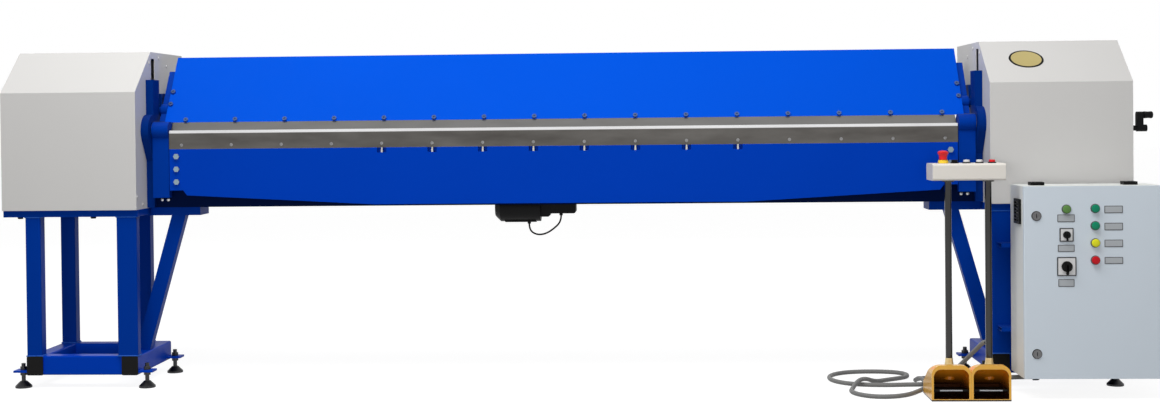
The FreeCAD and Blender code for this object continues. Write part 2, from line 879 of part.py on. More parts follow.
def turned(label, points, place, turn=None):
    """A body of revolution about its own upright axis: points are (radius, height)."""
    body = doc.addObject("PartDesign::Body", label)
    sketch = outline(body, label, "y", points)
    revolution = body.newObject("PartDesign::Revolution", label + "_turn")
    revolution.Profile = sketch
    revolution.ReferenceAxis = (sketch, ["V_Axis"])
    revolution.Angle = 360
    return put(body, *place, turn)


nodes = {}


def node(name, *pieces):
    """Name a finished sub-part and shift it to the origin of the whole machine."""
    whole = doc.addObject("Part::Compound", name)
    whole.Label = name
    flat = []
    for piece in pieces:
        flat.extend(piece if isinstance(piece, list) else [piece])
    whole.Links = flat
    put(whole, "shift_x", "shift_y", "0")
    nodes[name] = whole


def row(first, pitch, count):
    """Formulas of evenly spaced places."""
    return [f"{first} + {i} * {pitch}" for i in range(count)]


FACING_OPERATOR = FreeCAD.Rotation(UPRIGHT, FreeCAD.Vector(0, -1, 0))


# Stand: a welded ring of square tube with foot ears, at each end of the machine.
def stand_base():
    sides = []
    bores = []
    for name, low in (("outer", "base_outer - base_tube_width"), ("inner", "base_inner")):
        across = (low, f"{low} + base_tube_width")
        sides.append(bar(f"base_{name}_side", "y", across, ("base_bottom", "base_top"),
                         ("base_front", "base_rear"), "tube_corner"))
        bores.append(block(f"base_{name}_bore", (f"{low} + tube_wall", f"{low} + base_tube_width - tube_wall"),
                           ("base_front", "base_rear"), ("base_bottom + tube_wall", "base_top - tube_wall")))
    between = ("base_inner + base_tube_width / 2", "base_outer - base_tube_width / 2")
    for name, near in (("front", "base_front + tube_corner"),
                       ("rear", "base_rear - tube_corner - base_cross_width")):
        depth = (near, f"{near} + base_cross_width")
        sides.append(bar(f"base_{name}_cross", "x", depth, ("base_bottom", "base_top"), between, "tube_corner"))
        inside = (f"{near} + tube_wall", f"{near} + base_cross_width - tube_wall")
        bores.append(block(f"base_{name}_cross_bore", between, inside,
                           ("base_bottom + tube_wall", "base_top - tube_wall")))
    ears = []
    holes = []
    for side, middle, reach in (("outer", "foot_outer",
                                 ("base_outer - tube_wall", "foot_outer + ear_width / 2")),
                                ("inner", "foot_inner",
                                 ("foot_inner - ear_width / 2", "base_inner + tube_wall"))):
        for end, along in (("front", "foot_front"), ("rear", "foot_rear")):
            ears.append(block(f"ear_{side}_{end}", reach,
                              (f"{along} - ear_length / 2", f"{along} + ear_length / 2"),
                              ("ear_bottom", "ear_bottom + ear_thickness")))
            holes.append(rod(f"ear_hole_{side}_{end}", "z", (middle, along),
                             ("ear_bottom - 1", "ear_bottom + ear_thickness + 1"), "stud_radius + seat_gap"))
    welded = join("base_weldment", *sides, *ears)
    return remove("stand_base", welded, *bores, *holes)


def end_caps():
    caps = []
    for side, low in (("outer", "base_outer - base_tube_width"), ("inner", "base_inner")):
        for end, seat, face in (("front", "base_front", -1), ("rear", "base_rear", 1)):
            lip = (f"{seat} - cap_thickness", seat) if face < 0 else (seat, f"{seat} + cap_thickness")
            plug = (seat, f"{seat} + 4 * cap_thickness") if face < 0 else (f"{seat} - 4 * cap_thickness", seat)
            flange = bar(f"cap_{side}_{end}_flange", "y", (low, f"{low} + base_tube_width"),
                         ("base_bottom", "base_top"), lip, "tube_corner")
            across = (f"{low} + cap_inset", f"{low} + base_tube_width - cap_inset")
            spigot = block(f"cap_{side}_{end}_spigot", across, plug,
                           ("base_bottom + cap_inset", "base_top - cap_inset"))
            caps.append(join(f"cap_{side}_{end}", flange, spigot))
    return caps


def stand_legs():
    outer = ("base_outer - leg_width", "base_outer")
    front_inner = ("base_inner", "base_inner + front_inner_leg_width")
    rear_inner = ("rear_inner_leg_outer - leg_width", "rear_inner_leg_outer")
    up = ("base_top", "top_bottom")
    legs = [
        tube("leg_front_outer", "z", outer, ("base_front", "base_front + leg_depth"), up),
        tube("leg_front_inner", "z", front_inner, ("base_front", "base_front + front_inner_leg_depth"), up),
        tube("leg_rear_outer", "z", outer, ("base_rear - leg_depth", "base_rear"), up),
        tube("leg_rear_inner", "z", rear_inner, ("base_rear - leg_depth", "base_rear"), up),
    ]
    corners = [
        ("brace_top_middle - brace_half", "arm_bottom"),
        ("brace_top_middle + brace_half", "arm_bottom"),
        ("brace_foot_middle + brace_half", "base_top"),
        ("brace_foot_middle - brace_half", "base_top"),
    ]
    legs.append(section("brace", "y", corners, ("brace_front", "brace_rear")))
    return legs


def stand_top():
    height = ("top_bottom", "top_top")
    depth = ("top_front", "top_rear")
    bars = [
        block("top_jack_bar", ("frame_outer", "frame_outer + jack_bar_width"), depth, height),
        block("top_pedestal_bar", ("pedestal_bar_start", "pedestal_bar_start + pedestal_bar_width"), depth,
              height),
        block("top_outer_bar", ("housing_outer - top_bar_width", "housing_outer"), depth, height),
        block("top_front_bar", ("frame_outer", "housing_outer"), ("top_front", "top_front + top_bar_width"),
              height),
        block("top_rear_bar", ("frame_outer", "housing_outer"), ("top_rear - top_bar_width", "top_rear"),
              height),
        block("top_leg_bar", ("frame_outer", "housing_outer"), ("base_rear - top_bar_width", "base_rear"),
              height),
        block("top_arm", ("arm_reach", "frame_outer"), ("arm_front", "arm_rear"), ("arm_bottom", "arm_top")),
        block("top_arm_root", ("frame_outer", "frame_outer + jack_bar_width"), ("arm_front", "arm_rear"),
              ("arm_bottom", "top_bottom")),
    ]
    return join("stand_top", *bars)


def top_bolts():
    bolts = []
    for name, reach in (("outer", "base_outer + top_bolt_outer_gap"),
                        ("inner", "pedestal_bar_start + top_bolt_inner_gap")):
        bolts.append(hexagon(f"top_bolt_{name}", "z", (reach, "top_front + top_bolt_setback"),
                             ("top_bottom - top_bolt_head", "top_bottom"), "top_bolt_radius"))
    return bolts


def levelling_foot(name, x, y):
    rim = [("0", "0"), ("foot_radius", "0"), ("foot_radius", "foot_rim"),
           ("foot_neck_radius", "foot_neck_height"),
           ("stud_radius", "foot_neck_height"), ("stud_radius", "stud_top"), ("0", "stud_top")]
    pad = turned(f"foot_{name}_pad", rim, (x, y, "0"))
    nuts = []
    for where, low in (("lower", "ear_bottom - nut_height"), ("upper", "ear_bottom + ear_thickness")):
        span = (low, f"{low} + nut_height")
        nut = hexagon(f"foot_{name}_{where}_nut", "z", (x, y), span, "nut_radius")
        nuts.append(remove(f"foot_{name}_{where}_ring", nut,
                           rod(f"foot_{name}_{where}_bore", "z", (x, y), span, "stud_radius + running_gap")))
    return [pad, *nuts]


base = stand_base()
node("stand_bases", both("stand_base", base))
node("tube_end_caps", [cap for piece in end_caps() for cap in both(piece.Name, piece)])
node("stand_legs", [leg for piece in stand_legs() for leg in both(piece.Name, piece)])
node("stand_tops", both("stand_top", stand_top()),
     [bolt for piece in top_bolts() for bolt in both(piece.Name, piece)])
feet = []
for side, x in (("outer", "foot_outer"), ("inner", "foot_inner")):
    for end, y in (("front", "foot_front"), ("rear", "foot_rear")):
        feet.extend(levelling_foot(f"{side}_{end}", x, y))
node("levelling_feet", [foot for piece in feet for foot in both(piece.Name, piece)])


# Side frame: a thick plate with a round nose for the hinge and a slot for the lifting pin.
def side_frame():
    points = [
        ("frame_front", "arm_top"),
        ("frame_rear", "arm_top"),
        ("frame_rear", "rear_shoulder"),
        ("rear_top_edge", "rear_column_top"),
        ("slot_rear", "rear_column_top"),
        ("slot_rear", "pin_slot_bottom"),
        ("slot_front", "pin_slot_bottom"),
        ("slot_front", "front_column_top"),
        ("frame_front", "front_column_top"),
        ("frame_front", "hinge_height"),
        ("-nose_radius * nose_cosine", "hinge_height - nose_radius * nose_sine"),
        ("frame_front", "hinge_height - nose_start_drop"),
    ]
    span = ("frame_inner", "frame_outer")
    plate = section("frame_plate", "x", points, span)
    nose = rod("frame_nose", "x", ("0", "hinge_height"), span, "nose_radius")
    through = ("frame_inner - 1", "frame_outer + 1")
    bush_bore = rod("frame_bush_bore", "x", ("0", "hinge_height"), through, "bush_radius + running_gap")
    shaft_hole = rod("frame_shaft_hole", "x", ("drive_along", "drive_height"), through, "drive_opening")
    return remove("side_frame", join("frame_blank", plate, nose), bush_bore, shaft_hole)


frame = side_frame()
node("right_side_frame", frame)
node("left_side_frame", mirrored("side_frame_left", frame))

bush_span = ("frame_inner + seat_gap", "bush_end")
bush = remove("hinge_bush", rod("bush_outside", "x", ("0", "hinge_height"), bush_span, "bush_radius"),
              rod("bush_bore", "x", ("0", "hinge_height"), bush_span, "hinge_shaft_radius + running_gap"))
node("hinge_bushes", both("hinge_bush", bush))


# Housing: a folded sheet cover open below, with a screwed back panel.
WALL_SCREWS = [
    ("housing_top_edge + top_screw_setback", "housing_top - top_screw_drop"),
    ("housing_top_edge + rear_screw_setback", "housing_top - rear_screw_drop"),
    ("housing_top_edge - slope_screw_lead", "housing_top - slope_screw_drop"),
    ("housing_front + front_screw_setback", "housing_bottom + front_screw_rise"),
    ("housing_front + foot_screw_setback", "housing_bottom + foot_screw_rise"),
]


def housing():
    outside = [("housing_front", "housing_bottom"), ("housing_rear", "housing_bottom"),
               ("housing_rear", "housing_top"),
               ("housing_top_edge", "housing_top"), ("housing_front", "housing_fold")]
    near = "housing_front + sheet_gauge"
    far = "housing_rear - sheet_gauge"
    inside = [(near, "housing_bottom - 1"), (far, "housing_bottom - 1"), (far, "inner_top"),
              ("inner_top_edge", "inner_top"), (near, "inner_fold")]
    shell = section("housing_outside", "x", outside, ("housing_inner", "housing_outer"))
    room = section("housing_inside", "x", inside,
                   ("housing_inner + sheet_gauge", "housing_outer - sheet_gauge"))
    back = block("housing_back_opening", ("housing_inner + housing_lip", "housing_outer - housing_lip"),
                 (f"{far} - 1", "housing_rear + 1"),
                 ("housing_bottom + housing_lip", "housing_top - housing_lip"))
    wall = ("housing_inner - 1", "housing_inner + sheet_gauge + 1")
    slot = block("housing_slot", wall, ("housing_slot_front", "housing_slot_rear"),
                 ("housing_slot_bottom", "housing_slot_top"))
    hinge_hole = rod("housing_hinge_hole", "x", ("0", "hinge_height"), wall, "shaft_opening")
    drive_hole = rod("housing_drive_hole", "x", ("drive_along", "drive_height"), wall, "drive_opening")
    holes = [room, back, slot, hinge_hole, drive_hole]
    for i, (along, height) in enumerate(WALL_SCREWS):
        holes.append(rod(f"wall_screw_hole_{i}", "x", (along, height), wall, "wall_screw_shank + running_gap"))
    for i, (x, height) in enumerate(panel_screw_places()):
        holes.append(rod(f"panel_thread_{i}", "y", (x, height), (f"{far} - 1", "housing_rear + 1"),
                         "wall_screw_shank + running_gap"))
    return remove("housing", shell, *holes)


def panel_screw_places():
    columns = ("housing_inner + housing_lip / 2", "housing_outer - housing_lip / 2")
    rows = ("housing_bottom + 60", "(housing_bottom + housing_top) / 2", "housing_top - 60")
    return [(x, height) for x in columns for height in rows]


def wall_screws():
    screws = []
    for i, (along, height) in enumerate(WALL_SCREWS):
        head = rod(f"wall_screw_head_{i}", "x", (along, height),
                   ("housing_inner - wall_screw_head", "housing_inner"), "wall_screw_radius")
        shank = rod(f"wall_screw_shank_{i}", "x", (along, height),
                    ("housing_inner", "housing_inner + 3 * sheet_gauge"), "wall_screw_shank")
        screws.append(join(f"wall_screw_{i}", head, shank))
    return screws


def back_panel():
    span = ("housing_rear", "housing_rear + sheet_gauge")
    plate = block("back_panel_plate", ("housing_inner", "housing_outer"), span,
                  ("housing_bottom", "housing_top"))
    pieces = []
    holes = []
    for i, (x, height) in enumerate(panel_screw_places()):
        holes.append(rod(f"back_panel_hole_{i}", "y", (x, height),
                         ("housing_rear - 1", "housing_rear + sheet_gauge + 1"),
                         "wall_screw_shank + running_gap"))
        head = rod(f"back_panel_screw_head_{i}", "y", (x, height),
                   ("housing_rear + sheet_gauge", "housing_back"), "panel_screw_radius")
        shank = rod(f"back_panel_screw_shank_{i}", "y", (x, height),
                    ("housing_rear - 2 * sheet_gauge", "housing_rear + sheet_gauge"), "wall_screw_shank")
        pieces.append(join(f"back_panel_screw_{i}", head, shank))
    return [remove("back_panel", plate, *holes), *pieces]


cover = housing()
screws = wall_screws()
crank_centre = ("crank_along", "crank_height")
crank_bore = rod("crank_wall_hole", "x", crank_centre, ("housing_outer - sheet_gauge - 1", "housing_outer + 1"),
                 "crank_shaft_radius + seat_gap")
crank_flange_span = ("housing_outer", "housing_outer + crank_flange_thickness")
crank_flange = remove("crank_flange",
                      rod("crank_flange_disc", "x", crank_centre, crank_flange_span, "crank_flange_radius"),
                      rod("crank_flange_bore", "x", crank_centre, crank_flange_span,
                          "crank_shaft_radius + running_gap"))
node("left_housing", mirrored("housing_left", cover),
     [mirrored(f"{screw.Name}_left", screw) for screw in screws])
node("right_housing", remove("housing_right", cover, crank_bore), screws, crank_flange)
node("housing_back_panels", [side for piece in back_panel() for side in both(piece.Name, piece)])


# Bed: a welded box section between the side frames, with the lower blade on top.
def bed_beam():
    span = ("-frame_inner", "frame_inner")
    outside = [("bed_front", "bed_bottom"), ("bed_foot_rear", "bed_bottom"), ("bed_rear", "bed_rear_foot_top"),
               ("bed_rear", "bed_top"), ("bed_front", "bed_top")]
    inside = [("bed_front + bed_plate", "bed_bottom + bed_plate"),
              ("bed_foot_rear + bed_plate * bed_lean - bed_skew", "bed_bottom + bed_plate"),
              ("bed_rear - bed_skew", "bed_rear_foot_top"),
              ("bed_rear - bed_skew", "bed_shelf_bottom"),
              ("bed_front + bed_plate", "bed_shelf_bottom")]
    box = section("bed_outside", "x", outside, span)
    room = section("bed_inside", "x", inside, span)
    shell = remove("bed_section", box, room)
    ribs = []
    bracket = [("bed_foot_rear - bed_plate", "bracket_bottom"), ("clamp_box_front", "bracket_bottom"),
               ("clamp_box_front",
                "bracket_bottom + (clamp_box_front - bed_foot_rear) / bed_lean + bracket_lip"),
               ("bed_foot_rear", "bracket_bottom + bracket_lip")]
    for name, low in (("left", "bracket_left"), ("right", "bracket_right")):
        ribs.append(section(f"bed_bracket_{name}", "x", bracket, (low, f"{low} + bracket_thickness")))
    screw_holes = []
    for side in (-1, 1):
        for name, reach in (("outer", "bed_screw_outer"), ("inner", "bed_screw_inner")):
            screw_holes.append(rod(f"bed_screw_hole_{name}_{side + 1}", "y",
                                   (f"{side} * {reach}", "bed_screw_height"),
                                   ("bed_front - 1", "bed_front + bed_plate"),
                                   "wall_screw_shank + running_gap"))
    return remove("bed_beam_body", join("bed_weldment", shell, *ribs), *screw_holes)


def bed_screws():
    screws = []
    for name, reach in (("outer", "bed_screw_outer"), ("inner", "bed_screw_inner")):
        head = rod(f"bed_screw_head_{name}", "y", (reach, "bed_screw_height"),
                   ("bed_front - wall_screw_head", "bed_front"), "wall_screw_radius")
        shank = rod(f"bed_screw_shank_{name}", "y", (reach, "bed_screw_height"),
                    ("bed_front", "bed_front + bed_plate - bed_screw_cover"), "wall_screw_shank")
        screws.append(join(f"bed_screw_{name}", head, shank))
    return screws


node("bed_beam", bed_beam(), [side for piece in bed_screws() for side in both(piece.Name, piece)])
node("bed_blade", block("bed_blade_bar", ("-blade_half", "blade_half"), ("seat_gap", "bed_blade_rear"),
                        ("bed_blade_bottom", "hinge_height")))


# Upper beam: a sloping box section with the clamping blade below and a lifting plate at each end.
def slope_rod(label, x, height, depth, length, radius):
    """A cylinder square to the sloping front of the upper beam, from a depth below its face."""
    lean = number("front_lean")
    size = math.sqrt(1 + lean * lean)
    outward = FreeCAD.Vector(0, -1 / size, lean / size)
    piece = doc.addObject("Part::Cylinder", label)
    bind(piece, "Radius", radius)
    bind(piece, "Height", length)
    along = f"beam_front_foot + ({height} - beam_bottom) * front_lean + ({depth}) / sqrt(1 + front_lean * front_lean)"
    rise = f"{height} - ({depth}) * front_lean / sqrt(1 + front_lean * front_lean)"
    return put(piece, x, along, rise, FreeCAD.Rotation(UPRIGHT, outward))


BLADE_SCREWS = 16


def blade_screw_places():
    return row("blade_screw_first", "blade_screw_pitch", BLADE_SCREWS)


def clamp_screw_places():
    low = "beam_bottom + clamp_screw_rise"
    places_along = [(x, low) for x in blade_screw_places()]
    for side in (-1, 1):
        for height in ("strip_screw_low", "strip_screw_high"):
            places_along.append((f"{side} * strip_screw_reach", height))
    return places_along


def upper_beam():
    span = ("-beam_half", "beam_half")
    outside = [("beam_front_foot", "beam_bottom"), ("beam_bottom_rear", "beam_bottom"),
               ("beam_rear_foot", "rear_foot_height"), ("beam_rear_top", "beam_top"),
               ("beam_front_top", "beam_top")]
    floor = "beam_bottom + beam_wall"
    roof = "beam_top - beam_wall"
    inside = [("beam_front_foot + beam_wall * front_lean + front_skew", floor),
              ("beam_rear_foot + (beam_bottom + beam_wall - rear_foot_height) * rear_lean - rear_skew", floor),
              ("beam_rear_top - beam_wall * rear_lean - rear_skew", roof),
              ("beam_front_top - beam_wall * front_lean + front_skew", roof)]
    shell = remove("beam_section", section("beam_outside", "x", outside, span),
                   section("beam_inside", "x", inside, ("-beam_half - 1", "beam_half + 1")))
    holes = [slope_rod(f"clamp_screw_hole_{i}", x, height, "clamp_screw_depth + 1", "clamp_screw_depth + 2",
                       "clamp_screw_shank + running_gap") for i, (x, height) in enumerate(clamp_screw_places())]
    return remove("upper_beam_body", shell, *holes)


def clamping_screws():
    screws = []
    for i, (x, height) in enumerate(clamp_screw_places()):
        head = slope_rod(f"clamp_screw_head_{i}", x, height, "0", "clamp_screw_head", "clamp_screw_radius")
        shank = slope_rod(f"clamp_screw_shank_{i}", x, height, "clamp_screw_depth", "clamp_screw_depth",
                          "clamp_screw_shank")
        socket = slope_rod(f"clamp_screw_socket_{i}", x, height, "-clamp_screw_head / 2", "clamp_screw_head",
                           "clamp_screw_shank")
        screws.append(remove(f"clamp_screw_{i}", join(f"clamp_screw_blank_{i}", head, shank), socket))
    return screws


def clamping_blade():
    points = [("clamp_blade_tip", "clamp_blade_bottom"), ("clamp_blade_heel", "clamp_blade_bottom"),
              ("beam_bottom_rear", "clamp_blade_top"), ("beam_front_foot", "clamp_blade_top")]
    return section("clamping_blade_bar", "x", points, ("-blade_half", "blade_half"))


def lift_plate():
    span = ("beam_half", "lift_plate_outer")
    foot = "beam_bottom + lift_plate_rise"
    points = [("beam_front_foot + lift_plate_rise * front_lean + lift_plate_setback", foot),
              ("beam_bottom_rear + lift_plate_foot_overhang", foot),
              ("lift_plate_rear", "lift_plate_top"),
              ("beam_front_foot + (lift_plate_top - beam_bottom) * front_lean + lift_plate_setback",
               "lift_plate_top")]
    plate = section("lift_plate_blank", "x", points, span)
    boss = rod("lift_plate_boss_disc", "x", ("pin_along", "pin_height"), span, "lift_plate_boss")
    pin = rod("lift_pin", "x", ("pin_along", "pin_height"), ("beam_half", "nut_block_end"), "pin_radius")
    return join("lift_plate", plate, boss, pin)


def lift_nut():
    span = ("nut_block_start", "nut_block_end")
    blank = bar("lift_nut_blank", "x", ("nut_block_front", "nut_block_rear"),
                ("nut_block_bottom", "nut_block_top"),
                span, "jack_corner")
    pin_bore = rod("lift_nut_pin_bore", "x", ("pin_along", "pin_height"),
                   ("nut_block_start - 1", "nut_block_end + 1"), "pin_radius + running_gap")
    thread = rod("lift_nut_thread", "z", ("lift_screw_reach", "drive_along"),
                 ("nut_block_bottom - 1", "nut_block_top + 1"), "lift_screw_radius + running_gap")
    return remove("lift_nut", blank, pin_bore, thread)


node("upper_beam", upper_beam())
node("clamping_blade", clamping_blade())
node("clamping_screws", clamping_screws())
plate = lift_plate()
node("right_lift_plate", plate)
node("left_lift_plate", mirrored("lift_plate_left", plate))
node("lift_nuts", both("lift_nut", lift_nut()))


# Lifting drive: one cross shaft turns a bevel pair and a lifting screw at each end.
def cross_shaft():
    pinion_start = "lift_screw_reach - gear_large"
    pinion_end = "lift_screw_reach - gear_small"
    centre = ("drive_along", "drive_height")
    pieces = [rod("cross_shaft_bar", "x", centre, (f"-({pinion_start})", pinion_start), "drive_radius")]
    pinion = taper("cross_shaft_pinion", "x", centre, (pinion_start, pinion_end), ("gear_large", "gear_small"))
    sleeve = rod("cross_shaft_sleeve", "x", centre,
                 ("coupling_middle - coupling_length / 2", "coupling_middle + coupling_length / 2"),
                 "coupling_radius")
    for piece in (pinion, sleeve):
        pieces.extend(both(piece.Name, piece))
    return join("cross_shaft_body", *pieces)


def lift_screw():
    bar_piece = rod("lift_screw_bar", "z", ("lift_screw_reach", "drive_along"),
                    ("lift_screw_bottom", "lift_screw_top"),
                    "lift_screw_radius")
    wheel = taper("lift_screw_gear", "z", ("lift_screw_reach", "drive_along"),
                  ("drive_height + gear_small + gear_gap", "drive_height + gear_large + gear_gap"),
                  ("gear_small", "gear_large"))
    return join("lift_screw", bar_piece, wheel)


def screw_jack():
    depth = ("drive_along - jack_half", "drive_along + jack_half")
    blank = bar("jack_blank", "z", ("jack_start", "jack_end"), depth, ("top_top", "jack_top"), "jack_corner")
    side = ("drive_along", "drive_height")
    up = ("lift_screw_reach", "drive_along")
    openings = [
        rod("jack_shaft_bore", "x", side, ("jack_start - 1", "lift_screw_reach - gear_large"),
            "drive_radius + running_gap"),
        rod("jack_pinion_room", "x", side,
            ("lift_screw_reach - gear_large - 1", "lift_screw_reach + gear_small"),
            "gear_large + pinion_room_gap"),
        rod("jack_wheel_room", "z", up, ("drive_height", "drive_height + gear_large + pinion_room_gap"),
            "gear_large + wheel_room_gap"),
        rod("jack_screw_bore", "z", up, ("lift_screw_bottom - seat_gap", "jack_top + 1"),
            "lift_screw_radius + running_gap"),
    ]
    return remove("screw_jack", blank, *openings)


node("cross_shaft", cross_shaft())
screw = lift_screw()
node("right_lift_screw", screw)
node("left_lift_screw", mirrored("lift_screw_left", screw))
node("screw_jacks", both("screw_jack", screw_jack()))


# Clamping gearmotor: hangs under the bed and drives the cross shaft through its hollow shaft.
def clamp_gearmotor():
    depth = ("clamp_box_front", "clamp_box_rear")
    case = bar("clamp_case", "y", ("clamp_box_left", "clamp_box_right"), ("clamp_box_bottom", "clamp_box_top"),
               depth, "clamp_box_corner")
    sump = bar("clamp_case_sump", "y", ("clamp_box_left", "clamp_box_step"), ("clamp_box_low", "clamp_box_top"),
               depth, "clamp_box_corner")
    centre = ("drive_along", "clamp_motor_height")
    barrel = rod("clamp_motor_barrel", "x", centre,
                 ("clamp_motor_end + clamp_motor_taper", "clamp_box_left + 5"),
                 "clamp_motor_radius")
    tail = taper("clamp_motor_tail", "x", centre, ("clamp_motor_end", "clamp_motor_end + clamp_motor_taper"),
                 ("clamp_motor_radius - clamp_motor_taper", "clamp_motor_radius"))
    bore = rod("clamp_case_bore", "x", ("drive_along", "drive_height"),
               ("clamp_box_left - 1", "clamp_box_right + 1"),
               "drive_radius + running_gap")
    swing = rod("clamp_motor_shaft_room", "x", ("drive_along", "drive_height"),
                ("clamp_motor_end - 1", "clamp_box_left"),
                "drive_radius + clamp_shaft_room")
    glands = [
        rod("clamp_motor_gland", "z", ("cable_start", "drive_along"),
            ("clamp_motor_height - clamp_motor_radius - cable_gland_length",
             "clamp_motor_height - clamp_motor_radius + 5"),
            "cable_gland_radius"),
        rod("clamp_box_gland", "z", ("cable_end", "drive_along"),
            ("clamp_box_bottom - cable_gland_length", "clamp_box_bottom + 1"), "cable_gland_radius"),
    ]
    blank = join("clamp_gearmotor_blank", case, sump, barrel, tail, *glands)
    return remove("clamp_gearmotor_body", blank, bore, swing)


node("clamp_gearmotor", clamp_gearmotor())


# Folding gearmotor: one at each end, on a pedestal, straight onto the hinge shaft.
def fold_gearmotor():
    across = ("fold_box_start", "fold_box_end")
    case = bar("fold_case", "x", ("fold_box_front", "fold_box_rear"), ("fold_box_bottom", "fold_box_top"),
               across,
               "fold_box_corner")
    middle = "fold_drive_middle"
    centre = (middle, "fold_motor_height")
    pieces = [
        case,
        rod("fold_motor_barrel", "y", centre, ("fold_box_rear - 1", "fold_motor_rear - fan_cover_length + 1"),
            "fold_motor_radius"),
        rod("fold_motor_fan_cover", "y", centre, ("fold_motor_rear - fan_cover_length", "fold_motor_rear"),
            "fold_motor_radius + fan_cover_rim"),
        block("fold_motor_terminal_box",
              (f"{middle} - terminal_box_width / 2", f"{middle} + terminal_box_width / 2"),
              ("fold_box_rear + terminal_box_setback",
               "fold_box_rear + terminal_box_setback + terminal_box_length"),
              ("fold_motor_height", "fold_motor_height + fold_motor_radius + terminal_box_rise")),
    ]
    body = join("fold_gearmotor_blank", *pieces)
    bore = rod("fold_case_bore", "x", ("0", "hinge_height"), ("fold_box_start - 1", "fold_box_end + 1"),
               "hinge_shaft_radius + running_gap")
    return remove("fold_gearmotor", body, bore)


def pedestal():
    depth = ("-pedestal_half_depth", "pedestal_half_depth")
    column = block("pedestal_column", ("pedestal_start", "pedestal_end"), depth, ("top_top", "fold_box_bottom"))
    hollow = block("pedestal_hollow", ("pedestal_start - 1", "pedestal_end + 1"),
                   ("-pedestal_half_depth + pedestal_flange", "pedestal_half_depth - pedestal_flange"),
                   ("top_top + pedestal_flange", "fold_box_bottom - pedestal_flange"))
    return remove("pedestal", column, hollow)


drive = fold_gearmotor()
foot = pedestal()
node("right_fold_gearmotor", drive, foot)
node("left_fold_gearmotor", mirrored("fold_gearmotor_left", drive), mirrored("pedestal_left", foot))


# Folding beam: front plate, backbone and ribs, with the bending blade along its top.
def apron_points():
    half = [("blade_half", "apron_top"), ("blade_half", "apron_corner_height"),
            ("apron_notch", "apron_corner_height"),
            ("apron_taper_start", "apron_step_height"), ("apron_flat", "apron_bottom")]
    return half + [(f"-{x}", z) for x, z in reversed(half)]


CROWN_SCREWS = 8
RIB_STEPS = 5


def crown_places():
    steps = row("crown_first", "crown_pitch", CROWN_SCREWS // 2)
    return steps + [f"-({x})" for x in steps]


def folding_beam():
    front = section("apron_plate", "y", apron_points(), ("apron_front", "apron_rear"))
    lean = "(apron_step_height - apron_bottom) / (apron_taper_start - apron_flat)"
    taper_low = [("tongue_inner", "backbone_top"), ("tongue_inner", "apron_step_height"),
                 ("apron_flat", "apron_bottom")]
    backbone_points = taper_low + [(f"-{x}", z) for x, z in reversed(taper_low)]
    backbone = section("backbone_plate", "y", backbone_points, ("apron_rear", "backbone_rear"))
    ribs = [
        block("rib_top", ("-tongue_inner", "tongue_inner"), ("backbone_rear - 1", "rib_rear"),
              ("rib_top - rib_thickness", "rib_top")),
        block("rib_middle", ("-tongue_inner", "tongue_inner"), ("backbone_rear - 1", "rib_rear"),
              ("(backbone_top + apron_bottom) / 2", "(backbone_top + apron_bottom) / 2 + rib_thickness")),
        block("rib_bottom", ("-apron_flat", "apron_flat"), ("backbone_rear - 1", "rib_rear"),
              ("apron_bottom", "apron_bottom + rib_thickness")),
    ]
    for i in range(1 - RIB_STEPS, RIB_STEPS):
        middle = f"{i} * rib_pitch"
        low = f"apron_bottom + max(0; abs({middle}) + rib_thickness / 2 - apron_flat) * {lean}"
        ribs.append(block(f"rib_upright_{i + RIB_STEPS}",
                          (f"{middle} - rib_thickness / 2", f"{middle} + rib_thickness / 2"),
                          ("backbone_rear - 1", "rib_rear"), (low, "rib_top")))
    welded = join("folding_beam_blank", front, backbone, *ribs)
    cuts = []
    for i, x in enumerate(crown_places()):
        cuts.append(block(f"crown_pocket_{i}",
                          (f"{x} - crown_pocket_width / 2", f"{x} + crown_pocket_width / 2"),
                          ("apron_front - 1", "apron_rear"),
                          ("apron_top - crown_pocket_height", "apron_top + 1")))
    for i, x in enumerate(blade_screw_places()):
        cuts.append(rod(f"backbone_screw_hole_{i}", "y", (x, "fold_screw_height"),
                        ("apron_rear - 1", "backbone_rear + 1"), "fold_screw_shank + running_gap"))
    for i, (x, height) in enumerate(apron_bolt_places()):
        cuts.append(rod(f"apron_bolt_hole_{i}", "y", (x, height), ("apron_front - 1", "apron_rear + 1"),
                        "apron_bolt_shank + running_gap"))
    return remove("folding_beam_body", welded, *cuts)


def apron_bolt_places():
    heights = ("apron_bolt_low", "apron_bolt_middle", "apron_bolt_high")
    return [(f"{side} * apron_bolt_reach", height) for side in (-1, 1) for height in heights]


def bending_blade():
    points = [("apron_front", "apron_top"), ("apron_rear", "apron_top"),
              ("apron_rear", "hinge_height - blade_lip"),
              ("backbone_rear", "hinge_height - blade_lip"), ("backbone_rear", "hinge_height"),
              ("apron_front", "hinge_height")]
    bar_piece = section("bending_blade_bar", "x", points, ("-blade_half", "blade_half"))
    holes = [rod(f"blade_screw_hole_{i}", "y", (x, "fold_screw_height"), ("apron_front - 1", "apron_rear + 1"),
                 "fold_screw_radius + fold_screw_clearance") for i, x in enumerate(blade_screw_places())]
    return remove("bending_blade_body", bar_piece, *holes)


def bending_screws():
    screws = []
    for i, x in enumerate(blade_screw_places()):
        centre = (x, "fold_screw_height")
        head = rod(f"fold_screw_head_{i}", "y", centre, ("apron_front + fold_screw_recess", "apron_rear"),
                   "fold_screw_radius")
        shank = rod(f"fold_screw_shank_{i}", "y", centre, ("apron_rear", "apron_rear + fold_screw_depth"),
                    "fold_screw_shank")
        socket = hexagon(f"fold_screw_socket_{i}", "y", centre,
                         ("apron_front", "apron_front + fold_screw_socket"),
                         "fold_screw_shank")
        screws.append(remove(f"fold_screw_{i}", join(f"fold_screw_blank_{i}", head, shank), socket))
    return screws


